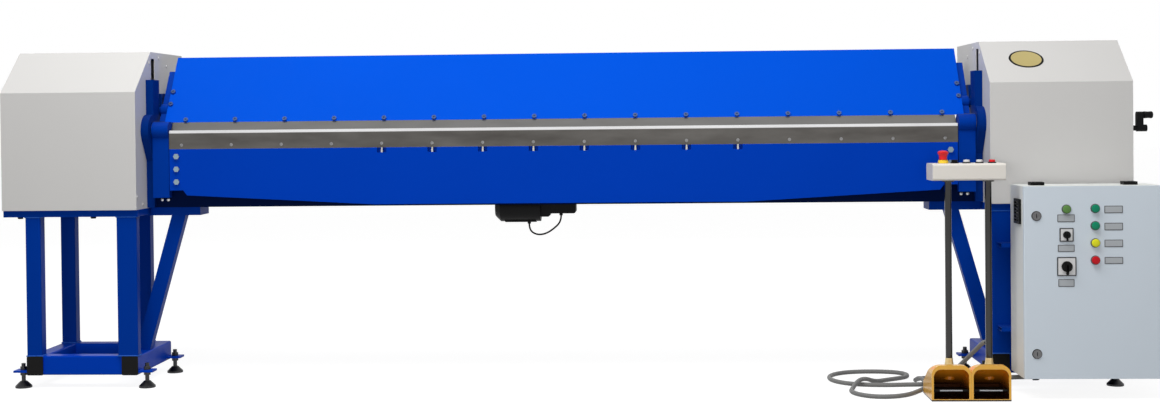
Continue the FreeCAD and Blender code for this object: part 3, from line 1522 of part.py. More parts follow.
def crown_screws():
    screws = []
    middle = "(apron_front + apron_rear) / 2"
    for i, x in enumerate(crown_places()):
        floor = "apron_top - crown_pocket_height"
        head = hexagon(f"crown_screw_head_{i}", "z", (x, middle), (floor, f"{floor} + crown_head_height"),
                       "crown_head_radius")
        stud = rod(f"crown_screw_stud_{i}", "z", (x, middle), (floor, "apron_top"), "crown_stud_radius")
        screws.append(join(f"crown_screw_{i}", head, stud))
    return screws


def apron_bolts():
    bolts = []
    for i, (x, height) in enumerate(apron_bolt_places()):
        head = hexagon(f"apron_bolt_head_{i}", "y", (x, height),
                       ("apron_front - apron_bolt_head", "apron_front"),
                       "apron_bolt_radius")
        shank = rod(f"apron_bolt_shank_{i}", "y", (x, height), ("apron_front", "apron_rear + apron_bolt_depth"),
                    "apron_bolt_shank")
        bolts.append(join(f"apron_bolt_{i}", head, shank))
    return bolts


def hinge_arm():
    span = ("arm_inner", "arm_outer")
    web = block("hinge_arm_web", span, ("hinge_arm_front", "hinge_arm_rear"),
                ("hinge_arm_bottom", "hinge_height"))
    hub = rod("hinge_arm_hub", "x", ("0", "hinge_height"), span, "hinge_hub_radius")
    tongue = block("hinge_arm_tongue", ("tongue_inner", "arm_inner + 1"), ("apron_rear", "hinge_arm_rear"),
                   ("apron_corner_height", "rib_top"))
    bore = rod("hinge_arm_bore", "x", ("0", "hinge_height"), ("hinge_shaft_start", "arm_outer + 1"),
               "hinge_shaft_radius + running_gap")
    end_screw = rod("hinge_arm_screw_hole", "y", ("-(blade_screw_first)", "fold_screw_height"),
                    ("apron_rear - 1", "apron_rear + fold_screw_depth + 1"), "fold_screw_shank + running_gap")
    cuts = [bore, end_screw]
    for i, height in enumerate(("apron_bolt_low", "apron_bolt_middle", "apron_bolt_high")):
        cuts.append(rod(f"hinge_arm_thread_{i}", "y", ("apron_bolt_reach", height),
                        ("apron_rear - 1", "apron_rear + apron_bolt_depth + 1"),
                        "apron_bolt_shank + running_gap"))
    return remove("hinge_arm", join("hinge_arm_blank", web, hub, tongue), *cuts)


node("folding_beam", folding_beam())
node("bending_blade", bending_blade())
node("bending_screws", bending_screws())
node("crown_screws", crown_screws())
node("apron_bolts", apron_bolts())
arm = hinge_arm()
node("right_hinge_arm", arm)
node("left_hinge_arm", mirrored("hinge_arm_left", arm))
shaft = rod("hinge_shaft", "x", ("0", "hinge_height"),
            ("hinge_shaft_start", "fold_box_end + hinge_shaft_overhang"), "hinge_shaft_radius")
node("hinge_shafts", both("hinge_shaft", shaft))


# Hand crank on the right housing.
def crank_arm():
    centre = ("crank_along", "crank_height")
    top = ("crank_along", "grip_height")
    span = ("crank_arm_start", "crank_arm_end")
    outer_face = "housing_outer + crank_flange_thickness + seat_gap"
    inner_face = "housing_outer - sheet_gauge - seat_gap"
    web = block("crank_arm_web", span, ("crank_along - crank_arm_half", "crank_along + crank_arm_half"),
                ("crank_height", "grip_height"))
    pieces = [
        web,
        rod("crank_arm_foot", "x", centre, span, "crank_arm_half"),
        rod("crank_arm_head", "x", top, span, "crank_arm_half"),
        rod("crank_arm_hub", "x", centre, ("crank_arm_start", "crank_hub_end"), "crank_hub_radius"),
        rod("crank_shaft", "x", centre, ("crank_shaft_start", "crank_arm_start"), "crank_shaft_radius"),
        rod("crank_collar_outer", "x", centre, (f"{outer_face}", f"{outer_face} + collar_length"),
            "collar_radius"),
        rod("crank_collar_inner", "x", centre, (f"{inner_face} - collar_length", f"{inner_face}"),
            "collar_radius"),
        rod("crank_grip_pin", "x", top, ("crank_arm_end", "grip_end - grip_cap"), "grip_pin_radius"),
    ]
    return join("crank_arm_body", *pieces)


def crank_grip():
    top = ("crank_along", "grip_height")
    outside = rod("grip_outside", "x", top, ("crank_arm_end + seat_gap", "grip_end"), "grip_radius")
    bore = rod("grip_bore", "x", top, ("crank_arm_end", "grip_end - grip_cap + seat_gap"),
               "grip_pin_radius + running_gap")
    return remove("grip_body", outside, bore)


node("crank_arm", crank_arm())
node("crank_grip", crank_grip())


# Switch cabinet: steel box, hinged door, rails that carry it on the right stand.
def cabinet_body():
    across = ("cabinet_left", "cabinet_right")
    tall = ("cabinet_bottom", "cabinet_top")
    outside = bar("cabinet_outside", "z", across, ("cabinet_body_front", "cabinet_rear"), tall, "cabinet_sheet")
    wall = "cabinet_sheet"
    room = block("cabinet_room", (f"cabinet_left + {wall}", f"cabinet_right - {wall}"),
                 (f"cabinet_body_front + {wall}", f"cabinet_rear - {wall}"),
                 (f"cabinet_bottom + {wall}", f"cabinet_top - {wall}"))
    mouth = block("cabinet_mouth", ("cabinet_left + cabinet_rim", "cabinet_right - cabinet_rim"),
                  ("cabinet_body_front - 1", f"cabinet_body_front + {wall} + 1"),
                  ("cabinet_bottom + cabinet_rim", "cabinet_top - cabinet_rim"))
    inlet = rod("cabinet_inlet", "z", ("gland_reach", "gland_along"),
                ("cabinet_bottom - 1", f"cabinet_bottom + {wall} + 1"), "hose_radius + seat_gap")
    vent = block("cabinet_vent_opening", ("cabinet_left - 1", f"cabinet_left + {wall} + 1"),
                 ("vent_front + vent_margin", "vent_rear - vent_margin"),
                 ("vent_bottom + vent_margin", "vent_top - vent_margin"))
    return remove("cabinet_shell", outside, room, mouth, inlet, vent)


def door_openings():
    holes = []
    through = ("cabinet_front - 1", "cabinet_front + cabinet_sheet + 1")
    for name, x, z, radius in panel_holes():
        holes.append(rod(f"door_hole_{name}", "y", (x, z), through, f"{radius} + running_gap"))
    return holes


def panel_holes():
    spots = [("lock_low", "lock_reach", "lock_low", "lock_barrel"),
             ("lock_high", "lock_reach", "lock_high", "lock_barrel"),
             ("selector", "pilot_reach", "selector_height", "spindle_radius"),
             ("main", "pilot_reach", "main_height", "spindle_radius")]
    spots.extend((f"lamp_{i}", x, z, "barrel_radius") for i, (x, z) in enumerate(lamp_places()))
    return spots


def lamp_places():
    column = [("column_reach", z) for z in ("lamp_top", "lamp_second", "lamp_third", "lamp_fourth")]
    return [("pilot_reach", "pilot_height"), *column]


def cabinet_door():
    across = ("cabinet_left", "cabinet_right")
    tall = ("cabinet_bottom", "cabinet_top")
    outside = bar("door_outside", "z", across, ("cabinet_front", "door_back"), tall, "cabinet_sheet")
    room = block("door_room", ("cabinet_left + cabinet_sheet", "cabinet_right - cabinet_sheet"),
                 ("cabinet_front + cabinet_sheet", "door_back + 1"),
                 ("cabinet_bottom + cabinet_sheet", "cabinet_top - cabinet_sheet"))
    panel = remove("door_panel", outside, room, *door_openings())
    pieces = [panel]
    for name in ("low", "middle", "high"):
        base_height = f"hinge_{name} + knuckle_height + seat_gap"
        span = (base_height, f"{base_height} + knuckle_height")
        barrel = rod(f"door_knuckle_{name}", "z", ("door_axis_x", "door_axis_y"), span, "knuckle_radius")
        leaf = block(f"door_leaf_{name}", ("cabinet_right - 0.5", "door_axis_x"),
                     ("cabinet_front + hinge_leaf_setback", "door_axis_y - 1"), span)
        bore = rod(f"door_knuckle_bore_{name}", "z", ("door_axis_x", "door_axis_y"), span,
                   "door_pin_radius + running_gap")
        pieces.append(remove(f"door_hinge_{name}", join(f"door_hinge_blank_{name}", barrel, leaf), bore))
    return join("door_body", *pieces)


def door_hinges():
    hinges = []
    for name in ("low", "middle", "high"):
        span = (f"hinge_{name}", f"hinge_{name} + knuckle_height")
        pin_top = f"hinge_{name} + 2 * knuckle_height + seat_gap"
        hinges.append(join(
            f"fixed_hinge_{name}",
            rod(f"fixed_knuckle_{name}", "z", ("door_axis_x", "door_axis_y"), span, "knuckle_radius"),
            block(f"fixed_leaf_{name}", ("cabinet_right", "door_axis_x - 1"),
                  ("door_axis_y", "door_axis_y + hinge_leaf_depth"), span),
            rod(f"fixed_pin_{name}", "z", ("door_axis_x", "door_axis_y"), (span[0], pin_top),
                "door_pin_radius")))
    return hinges


def lock(name):
    centre = ("lock_reach", name)
    head = rod(f"{name}_head", "y", centre, ("cabinet_front - lock_head", "cabinet_front"), "lock_radius")
    cam_depth = ("door_back + cam_setback", "door_back + cam_setback + cam_thickness")
    barrel = rod(f"{name}_barrel_bar", "y", centre, ("cabinet_front", cam_depth[1]), "lock_barrel")
    cam = block(f"{name}_cam", ("lock_reach - cam_width / 2", "lock_reach + cam_width / 2"), cam_depth,
                (name, f"{name} + cam_length"))
    key = block(f"{name}_key_slot", ("lock_reach - key_slot_width / 2", "lock_reach + key_slot_width / 2"),
                ("cabinet_front - lock_head", "cabinet_front - lock_head + key_slot_depth"),
                (f"{name} - key_slot_length / 2", f"{name} + key_slot_length / 2"))
    return remove(f"{name}_body", join(f"{name}_blank", head, barrel, cam), key)


def lamp(label, x, z):
    bezel = rod(f"{label}_bezel", "y", (x, z), ("cabinet_front - bezel_depth", "cabinet_front"), "bezel_radius")
    lens = rod(f"{label}_lens", "y", (x, z), ("cabinet_front - lens_depth", "cabinet_front - bezel_depth"),
               "lens_radius")
    barrel = rod(f"{label}_barrel", "y", (x, z), ("cabinet_front", "cabinet_front + barrel_depth"),
                 "barrel_radius")
    return join(label, bezel, lens, barrel)


def switch_plate(label, height, size):
    depth = ("cabinet_front - switch_plate_depth", "cabinet_front")
    plate_piece = bar(f"{label}_plate", "y", (f"pilot_reach - {size} / 2", f"pilot_reach + {size} / 2"),
                      (f"{height} - {size} / 2", f"{height} + {size} / 2"), depth, "switch_plate_corner")
    bore = rod(f"{label}_plate_bore", "y", ("pilot_reach", height),
               ("cabinet_front - switch_plate_depth - 1", "cabinet_front + 1"), "spindle_radius + running_gap")
    return remove(f"{label}_plate_ring", plate_piece, bore)


def knob(label, height, radius):
    face = "cabinet_front - switch_plate_depth - seat_gap"
    centre = ("pilot_reach", height)
    disc = rod(f"{label}_disc", "y", centre, (f"{face} - knob_depth + pointer_depth", face), radius)
    pointer = bar(f"{label}_pointer", "y",
                  ("pilot_reach - pointer_width / 2", "pilot_reach + pointer_width / 2"),
                  (f"{height} - {radius} + pointer_inset", f"{height} + {radius} - pointer_inset"),
                  (f"{face} - knob_depth", face), "pointer_corner")
    spindle = rod(f"{label}_spindle", "y", centre, (face, "cabinet_front + barrel_depth"), "spindle_radius")
    return join(f"{label}_body", disc, pointer, spindle)


CONTACTORS_IN_ROW = 5


def switchgear():
    back = ("plate_back - plate_thickness", "plate_back")
    plate_piece = block("mounting_plate", ("cabinet_left + plate_inset", "cabinet_right - plate_inset"), back,
                        ("cabinet_bottom + plate_inset", "cabinet_top - plate_inset"))
    pieces = [plate_piece]
    for name, x in (("left", "cabinet_left + 2 * plate_inset"), ("right", "cabinet_right - 2 * plate_inset")):
        for level, z in (("low", "cabinet_bottom + 2 * plate_inset"),
                         ("high", "cabinet_top - 2 * plate_inset")):
            pieces.append(rod(f"plate_stud_{name}_{level}", "y", (x, z),
                              ("plate_back", "cabinet_rear - cabinet_sheet"),
                              "plate_stud_radius"))
    carrier = join("mounting_plate_with_studs", *pieces)
    devices = []
    face = "plate_back - plate_thickness"
    columns = row("cabinet_left + contactor_inset", "contactor_pitch", CONTACTORS_IN_ROW)
    for level, z in (("top", "cabinet_top - contactor_drop"),
                     ("low", "cabinet_top - contactor_drop - contactor_row_pitch")):
        for i, x in enumerate(columns):
            devices.append(block(f"contactor_{level}_{i}", (x, f"{x} + contactor_width"),
                                 (f"{face} - contactor_depth", face), (z, f"{z} + contactor_height")))
    transformer = block("transformer", (columns[0], f"{columns[0]} + transformer_width"),
                        (f"{face} - transformer_depth", face),
                        ("cabinet_bottom + transformer_rise",
                         "cabinet_bottom + transformer_rise + transformer_height"))
    return [carrier, transformer, *devices]


def cabinet_rails():
    rails = []
    for name, low in (("high", "rail_high"), ("low", "rail_low")):
        outside = block(f"rail_{name}_bar", ("rail_left", "base_outer"), ("cabinet_rear", "base_front"),
                        (low, f"{low} + rail_height"))
        hollow = block(f"rail_{name}_bore", ("rail_left", "base_outer"),
                       ("cabinet_rear + rail_wall", "base_front - rail_wall"),
                       (f"{low} + rail_wall", f"{low} + rail_height - rail_wall"))
        rails.append(remove(f"rail_{name}", outside, hollow))
    return rails


VENT_SLOTS = 6


def vent():
    frame_piece = block("vent_frame", ("cabinet_left - vent_depth", "cabinet_left"),
                        ("vent_front", "vent_rear"),
                        ("vent_bottom", "vent_top"))
    slots = []
    for i in range(1, VENT_SLOTS + 1):
        middle = f"vent_bottom + {i} * (vent_top - vent_bottom) / {VENT_SLOTS + 1}"
        slots.append(block(f"vent_slot_{i}", ("cabinet_left - vent_depth - 1", "cabinet_left + 1"),
                           ("vent_front + vent_slot_margin", "vent_rear - vent_slot_margin"),
                           (f"{middle} - vent_slot_height / 2", f"{middle} + vent_slot_height / 2")))
    return remove("vent", frame_piece, *slots)


def top_pad(label, middle):
    return bar(label, "z", (f"{middle} - pad_half", f"{middle} + pad_half"),
               ("pad_along - pad_half", "pad_along + pad_half"), ("cabinet_top", "cabinet_top + pad_height"),
               "pad_corner")


def cabinet_gland():
    height = "cabinet_bottom - elbow_drop"
    riser = rod("cabinet_gland_riser", "z", ("gland_reach", "gland_along"), (height, "cabinet_bottom"),
                "gland_radius")
    elbow = rod("cabinet_gland_elbow", "x", ("gland_along", height),
                ("gland_reach - elbow_length", "gland_reach"),
                "gland_radius")
    knee = doc.addObject("Part::Sphere", "cabinet_gland_knee")
    bind(knee, "Radius", "gland_radius")
    put(knee, "gland_reach", "gland_along", height)
    return join("cabinet_gland", riser, elbow, knee)


def post_gland():
    centre = ("post_right", "hose_gland_height")
    start = "post_along + post_radius"
    body = hexagon("post_gland_nut", "y", centre,
                   ("post_along + post_radius - 1", f"{start} + hose_gland_length"),
                   "hose_gland_radius")
    seat = rod("post_gland_seat", "z", ("post_right", "post_along"),
               ("hose_gland_height - hose_gland_seat", "hose_gland_height + hose_gland_seat"), "post_radius")
    return remove("post_gland", body, seat)


node("cabinet_body", cabinet_body())
node("door_hinges", door_hinges())
node("cabinet_door", cabinet_door())
node("upper_door_lock", lock("lock_high"))
node("lower_door_lock", lock("lock_low"))
lamps = [lamp(f"lamp_{i}", x, z) for i, (x, z) in enumerate(lamp_places())]
node("panel_fittings", lamps, switch_plate("selector", "selector_height", "selector_plate"),
     switch_plate("main", "main_height", "main_plate"))
node("selector_knob", knob("selector", "selector_height", "selector_radius"))
node("main_switch_knob", knob("main", "main_height", "main_radius"))
node("switchgear", switchgear())
node("cabinet_rails", cabinet_rails())
node("cabinet_fittings", vent(), top_pad("top_pad_left", "pad_left"), top_pad("top_pad_right", "pad_right"),
     cabinet_gland(), post_gland())


# Pendant: control box on two posts, standing in the bosses of two pedal hoods.
def button_places():
    return [("black", "black_reach"), ("left_white", "left_white_reach"), ("right_white", "right_white_reach"),
            ("red", "red_reach")]


def control_box():
    across = ("box_left", "box_right - box_end_plate")
    outside = bar("box_outside", "x", ("box_front", "box_rear"), ("box_bottom", "box_top"), across,
                  "box_corner")
    room = block("box_room", ("box_left + box_wall", "box_right"),
                 ("box_front + box_wall", "box_rear - box_wall"),
                 ("box_bottom + box_wall", "box_top - box_wall"))
    holes = [rod("box_hole_estop", "z", ("estop_reach", "button_along"),
                 ("box_top - box_wall - 1", "box_top + 1"),
                 "stem_radius + stem_gap")]
    for name, x in button_places():
        holes.append(rod(f"box_hole_{name}", "z", (x, "button_along"),
                         ("box_top - box_wall - 1", "box_top + 1"),
                         "stem_radius + stem_gap"))
    lid = bar("box_end_plate_piece", "x", ("box_front", "box_rear"), ("box_bottom", "box_top"),
              ("box_right - box_end_plate", "box_right"), "box_corner")
    return [remove("control_box_body", outside, room, *holes), lid]


def post(label, x):
    height = ("post_bottom", "box_bottom")
    outside = rod(f"{label}_tube", "z", (x, "post_along"), height, "post_radius")
    flange = rod(f"{label}_flange", "z", (x, "post_along"), ("box_bottom - post_flange_height", "box_bottom"),
                 "post_flange_radius")
    bore = rod(f"{label}_bore", "z", (x, "post_along"), height, "post_radius - post_wall")
    return remove(label, join(f"{label}_blank", outside, flange), bore)


def hood(label, left, post_x):
    span = (left, f"{left} + hood_width")
    profile = [("hood_front", "0"), ("hood_rear", "0"), ("hood_rear", "hood_rear_height"),
               ("hood_front + hood_brow", "hood_top"), ("hood_front", "hood_top")]
    arch = bar(f"{label}_arch", "y", span, ("-2 * hood_arch", "hood_top"), ("hood_front", "hood_rear"),
               "hood_arch")
    outside = common(f"{label}_outside", section(f"{label}_side", "x", profile, span), arch)
    room_points = [("hood_front - 1", "hood_floor"), ("hood_rear - hood_wall", "hood_floor"),
                   ("hood_rear - hood_wall", "hood_rear_height - hood_roof + hood_room_rise"),
                   ("hood_front + hood_brow", "hood_top - hood_roof"),
                   ("hood_front - 1", "hood_top - hood_roof")]
    inside = (f"{left} + hood_wall", f"{left} + hood_width - hood_wall")
    room_arch = bar(f"{label}_room_arch", "y", inside, ("-2 * hood_arch", "hood_top - hood_roof"),
                    ("hood_front - 1", "hood_rear - hood_wall"), "hood_arch - hood_wall")
    room = common(f"{label}_room", section(f"{label}_room_side", "x", room_points, inside), room_arch)
    shell = remove(f"{label}_shell", outside, room)
    centre = (post_x, "post_along")
    boss = rod(f"{label}_boss", "z", centre, ("hood_boss_bottom", "hood_boss_top"), "hood_boss_radius")
    socket = rod(f"{label}_socket", "z", centre, ("post_bottom", "hood_boss_top + 1"),
                 "post_radius + running_gap")
    pins = rod(f"{label}_pin_holes", "x", ("treadle_hinge_along", "treadle_hinge_height"),
               (f"{left} + hood_wall - treadle_pin_reach - seat_gap",
                f"{left} + hood_width - hood_wall + treadle_pin_reach + seat_gap"),
               "treadle_pin + running_gap")
    return remove(f"{label}_body", join(f"{label}_blank", shell, boss), socket, pins)


def treadle(label, left):
    inside = (f"{left} + hood_wall + treadle_side_gap", f"{left} + hood_width - hood_wall - treadle_side_gap")
    hinge = ("treadle_hinge_along", "treadle_hinge_height")
    low = "treadle_hinge_height - treadle_barrel / 2"
    points = [("treadle_hinge_along", low), ("treadle_hinge_along", f"{low} + treadle_thickness"),
              ("treadle_front", "treadle_front_top"),
              ("treadle_front", "treadle_front_top - treadle_thickness")]
    plate_piece = section(f"{label}_plate", "x", points, inside)
    barrel = rod(f"{label}_barrel", "x", hinge, inside, "treadle_barrel")
    pin = rod(f"{label}_pin", "x", hinge, (f"{left} + hood_wall - treadle_pin_reach",
                                           f"{left} + hood_width - hood_wall + treadle_pin_reach"),
                                           "treadle_pin")
    return join(label, plate_piece, barrel, pin)


def collars():
    rings = []
    spots = [("estop", "estop_reach", "estop_collar_radius", "estop_collar_height", "estop_neck_radius")]
    spots.extend((name, x, "ring_radius", "ring_height", "button_radius") for name, x in button_places())
    for name, x, radius, height, bore in spots:
        span = ("box_top", f"box_top + {height}")
        ring = rod(f"collar_{name}_ring", "z", (x, "button_along"), span, radius)
        hole = rod(f"collar_{name}_bore", "z", (x, "button_along"), span, f"{bore} + running_gap")
        rings.append(remove(f"collar_{name}", ring, hole))
    return rings


def push_button(label, x):
    low = "box_top + button_travel + seat_gap"
    cap = rod(f"{label}_cap", "z", (x, "button_along"), (low, "box_top + ring_height + button_rise"),
              "button_radius")
    stem = rod(f"{label}_stem", "z", (x, "button_along"), ("box_top - stem_depth", f"{low} + 1"), "stem_radius")
    return join(label, cap, stem)


def estop():
    centre = ("estop_reach", "button_along")
    cap = rod("estop_cap", "z", centre, ("estop_top - estop_head", "estop_top - estop_crown"), "estop_radius")
    crown = taper("estop_rounded_top", "z", centre, ("estop_top - estop_crown", "estop_top"),
                  ("estop_radius", "estop_radius - estop_bevel"))
    neck = rod("estop_neck", "z", centre, ("box_top + estop_travel + seat_gap", "estop_top - estop_head + 1"),
               "estop_neck_radius")
    stem = rod("estop_stem", "z", centre, ("box_top - stem_depth", "estop_top - estop_head"), "stem_radius")
    return join("estop", cap, crown, neck, stem)


node("control_box", control_box())
node("pendant_posts", post("post_on_left", "post_left"), post("post_on_right", "post_right"))
right_hood_left = "hood_left + hood_width + seat_gap"
node("pedal_housings", hood("left_hood", "hood_left", "post_left"),
     hood("right_hood", right_hood_left, "post_right"))
node("left_treadle", treadle("treadle_on_left", "hood_left"))
node("right_treadle", treadle("treadle_on_right", right_hood_left))
node("button_collars", collars())
node("estop_button", estop())
for name, x in button_places():
    node(f"{name}_button", push_button(f"button_{name}", x))


# Cords: straight runs joined by tangent arcs, each arc as large as its two runs allow.
ARC_SHARE = 0.45


def cord_path(points):
    """The path's edges and its arc radii."""
    edges = []
    radii = []
    start = points[0]
    for before, corner, after in zip(points, points[1:], points[2:]):
        back = before - corner
        ahead = after - corner
        turn = math.pi - back.getAngle(ahead)
        reach = ARC_SHARE * min(back.Length, ahead.Length)
        radius = reach / math.tan(turn / 2)
        back.normalize()
        ahead.normalize()
        inward = (back + ahead).normalize()
        middle = corner + inward * (radius / math.cos(turn / 2) - radius)
        first = corner + back * reach
        last = corner + ahead * reach
        edges.append(Part.LineSegment(start, first).toShape())
        edges.append(Part.Arc(first, middle, last).toShape())
        radii.append(radius)
        start = last
    edges.append(Part.LineSegment(start, points[-1]).toShape())
    return Part.Wire(edges), radii


def cord(name, points, radius):
    """A round cord along a route."""
    path, radii = cord_path([FreeCAD.Vector(*point) for point in points])
    first = path.Edges[0]
    ring = Part.Wire([Part.Circle(first.Vertexes[0].Point, first.tangentAt(first.FirstParameter),
                                  radius).toShape()])
    solid = path.makePipeShell([ring], True, False)
    plain = math.pi * radius * radius * path.Length
    print(f"{name}: length {path.Length:.0f}, volume over section times length {solid.Volume / plain:.4f}, "
          f"radii {min(radii):.0f} to {max(radii):.0f}")
    piece = doc.addObject("Part::Feature", name + "_tube")
    piece.Shape = solid
    node(name, piece)


def worded(points, words, edge):
    """Swap the words in a route for the places that they name, and count its X numbers from an edge."""
    route = []
    for x, y, z in points:
        across = words[x] if x in words else edge + x
        route.append((across, words.get(y, y), words.get(z, z)))
    return route


# The pendant hose leaves the right post, drops behind the hoods, makes a loop towards the operator and a
# wider one behind it, and climbs into the elbow under the cabinet. Its first number in each corner is
# counted from the left edge of the hoods. "floor" is its centre when it lies on the floor.
HOSE_ROUTE = [
    ("post", "exit", "gland"), ("post", -212, "gland"), (207, -150, 142), (175, -88, 88), (145, -30, 38),
    (123, 20, "floor"), (77, 46, "floor"), (27, 28, "floor"), (5, -20, "floor"),
    (13, -72, "over"), (25, -120, "over"), (23, -170, "floor"), (-23, -248, "floor"),
    (-67, -312, "floor"), (-131, -352, "floor"), (-203, -350, "floor"), (-253, -304, "floor"),
    (-271, -246, "floor"), (-259, -194, "floor"), (-231, -140, "over"), (-195, -84, "over"),
    (-149, -38, "floor"), (-95, 2, "floor"), (-49, 32, "floor"), (-7, 70, "floor"),
    (1, 124, "floor"), (-29, 168, "floor"), (-85, 188, "floor"), (-157, 192, "floor"),
    (-231, 176, "floor"), (-289, 130, "floor"), (-319, 60, "floor"), (-311, -18, "floor"),
    (-263, -80, "floor"), (-191, -108, "floor"), (-111, -114, "floor"), (-31, -104, "floor"),
    (49, -100, "floor"), (129, -118, "floor"), (189, -140, "floor"), (239, -160, 20), (289, -180, 44),
    (339, "elbow_y", "elbow_z"), ("elbow_x", "elbow_y", "elbow_z"),
]
HOSE_WORDS = {
    "post": number("post_right"),
    "exit": number("post_along") + number("post_radius") + number("hose_gland_length"),
    "gland": number("hose_gland_height"),
    "floor": number("hose_radius") + number("hose_lift"),
    "over": 3 * number("hose_radius") + number("hose_crossing_gap"),
    "elbow_x": number("gland_reach") - number("elbow_length"),
    "elbow_y": number("gland_along"),
    "elbow_z": number("cabinet_bottom") - number("elbow_drop"),
}
# The motor cable hangs in one short loop. Its steps are counted from the face of the motor's gland.
CABLE_STEPS = [(0, 0), (0, -26), (28, -46), (64, -44), (98, -24)]
cable_start = FreeCAD.Vector(
    number("cable_start"), number("drive_along"),
    number("clamp_motor_height") - number("clamp_motor_radius") - number("cable_gland_length"))
cable_end = FreeCAD.Vector(
    number("cable_end"), number("drive_along"), number("clamp_box_bottom") - number("cable_gland_length"))
cable_route = [cable_start + FreeCAD.Vector(x, 0, z) for x, z in CABLE_STEPS]
cable_route.extend([cable_end + FreeCAD.Vector(0, 0, CABLE_STEPS[1][1]), cable_end])
cord("pendant_hose", worded(HOSE_ROUTE, HOSE_WORDS, number("hood_left")), number("hose_radius"))
cord("motor_cable", cable_route, number("motor_cable_radius"))


# Check every object and every sub-part, then write one file for each sub-part.
doc.recompute()
for thing in doc.Objects:
    if "Invalid" in thing.State or "Error" in thing.State:
        raise RuntimeError(f"{thing.Label} failed: {thing.State}")
os.makedirs("parts", exist_ok=True)
box = FreeCAD.BoundBox()
for name, whole in nodes.items():
    if whole.Label != name:
        raise RuntimeError(f"{name} lost its name")
    if whole.Shape.isNull() or not whole.Shape.isValid():
        raise RuntimeError(f"{name} is not a valid shape")
    box.add(whole.Shape.optimalBoundingBox())
for name, whole in nodes.items():
    whole.Shape.exportStep(f"parts/{name}.step")
    print(f"{name}: {len(whole.Shape.Solids)} solids, {whole.Shape.Volume / 1e6:.3f} litres")
print(f"{len(nodes)} nodes, size {box.XLength:.1f} x {box.YLength:.1f} x {box.ZLength:.1f}, "
      f"X {box.XMin:.1f}, Y {box.YMin:.1f}, Z {box.ZMin:.1f}")
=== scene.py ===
# %% [markdown]
# # An electric sheet metal folder
#
# The machine folds steel sheet up to 3.1 m wide. Two stands carry grey gear housings, a bed beam lies
# between them, a clamping beam comes down on screws, and a folding beam swings up in front. The solids
# come from the construction model, in metres and in one fixed frame. This lesson gives them finishes
# and adds the parts that a construction model leaves plain: the conduit, welds, lenses and caps.

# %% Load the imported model
import json
import math
import bmesh
import bpy
import numpy as np
from mathutils import Matrix, Vector


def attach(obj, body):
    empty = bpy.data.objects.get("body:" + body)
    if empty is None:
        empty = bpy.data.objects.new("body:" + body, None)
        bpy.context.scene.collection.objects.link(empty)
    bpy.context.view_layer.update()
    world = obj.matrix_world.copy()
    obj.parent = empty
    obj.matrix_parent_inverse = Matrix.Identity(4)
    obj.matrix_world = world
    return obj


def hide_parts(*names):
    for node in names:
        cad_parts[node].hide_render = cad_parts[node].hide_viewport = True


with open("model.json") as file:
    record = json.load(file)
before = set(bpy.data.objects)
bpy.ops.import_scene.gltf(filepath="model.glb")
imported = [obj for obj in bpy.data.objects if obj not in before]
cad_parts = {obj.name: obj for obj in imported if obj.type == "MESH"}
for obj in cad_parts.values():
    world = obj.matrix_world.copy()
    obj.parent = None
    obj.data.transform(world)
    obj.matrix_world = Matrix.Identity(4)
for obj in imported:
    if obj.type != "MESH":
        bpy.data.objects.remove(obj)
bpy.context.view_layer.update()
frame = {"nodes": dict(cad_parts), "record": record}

# %% [markdown]
# ## Drawing places
#
# The shop drawing of this machine measures in millimetres from the middle of the folding line. The
# model's own origin is under the middle of its outer box, so every drawing place is moved by one fixed
# step. Keeping the drawing's numbers makes each value below easy to check against the real machine.

# %% From drawing millimetres to scene metres
DRAWING_SHIFT = np.array([-60.5, -35.0, 0.0])


def place(points):
    """Drawing millimetres to scene metres: add the shift, then divide by a thousand."""
    return (np.asarray(points, dtype=float) + DRAWING_SHIFT) / 1000.0


print("folding line ends at", place([[-1549, 0, 1010], [1549, 0, 1010]]).round(3).tolist())

# %% [markdown]
# ## The camera
#
# The photograph was taken from six metres in front, a little right of the middle and turned slightly
# left, at about blade height. The lens is found from the stand's parallel edges. A small upward crop
# is the camera's shift, because the picture was cut from a larger one.

# %% Camera
CAMERA_PLACE = [348.7, -5823.7, 1039.3]
CAMERA_YAW = math.radians(2.618)
CAMERA_PITCH = math.radians(0.752)
CAMERA_ROLL = math.radians(-0.577)
CAMERA_LENS = 45.98
CAMERA_SHIFT = -0.0603


def into_scene(name, data, where=Matrix()):
    """An object with this data, linked into the scene and set by a matrix."""
    made = bpy.data.objects.new(name, data)
    bpy.context.scene.collection.objects.link(made)
    made.matrix_world = where
    return made


def turn(angle, axis):
    """The matrix of a turn about one axis."""
    return Matrix.Rotation(angle, 4, axis)


camera_data = bpy.data.cameras.new("camera")
camera_data.sensor_fit = "HORIZONTAL"
camera_data.sensor_width = 36
camera_data.lens = CAMERA_LENS
camera_data.shift_y = CAMERA_SHIFT
# A camera at rest looks down. It is rolled about its view line, raised to look ahead and turned left.
raised = turn(math.pi / 2 - CAMERA_PITCH, "X") @ turn(CAMERA_ROLL, "Z")
aimed = Matrix.Translation(place(CAMERA_PLACE)) @ turn(CAMERA_YAW, "Z") @ raised
camera = into_scene("camera", camera_data, aimed)
bpy.context.scene.camera = camera
print("camera at", place(CAMERA_PLACE).round(3).tolist())

# %% [markdown]
# ## Surfaces from rows of points
#
# Every added piece is a skin over rows of points: a tube along a path, a profile turned about an axis,
# or a plate with rounded corners. Each row is a ring. Neighbouring rings are joined with quads, and both
# ends are closed with a fan, so the skin is watertight. Whole arrays are worked out at once, without a
# loop over points.

# %% Shape helpers
def unit(vectors):
    """Each vector divided by its own length."""
    return vectors / np.linalg.norm(vectors, axis=-1, keepdims=True)


def ring_angles(sides):
    """Equal angles once round a circle."""
    return np.linspace(0, 2 * math.pi, sides, endpoint=False)


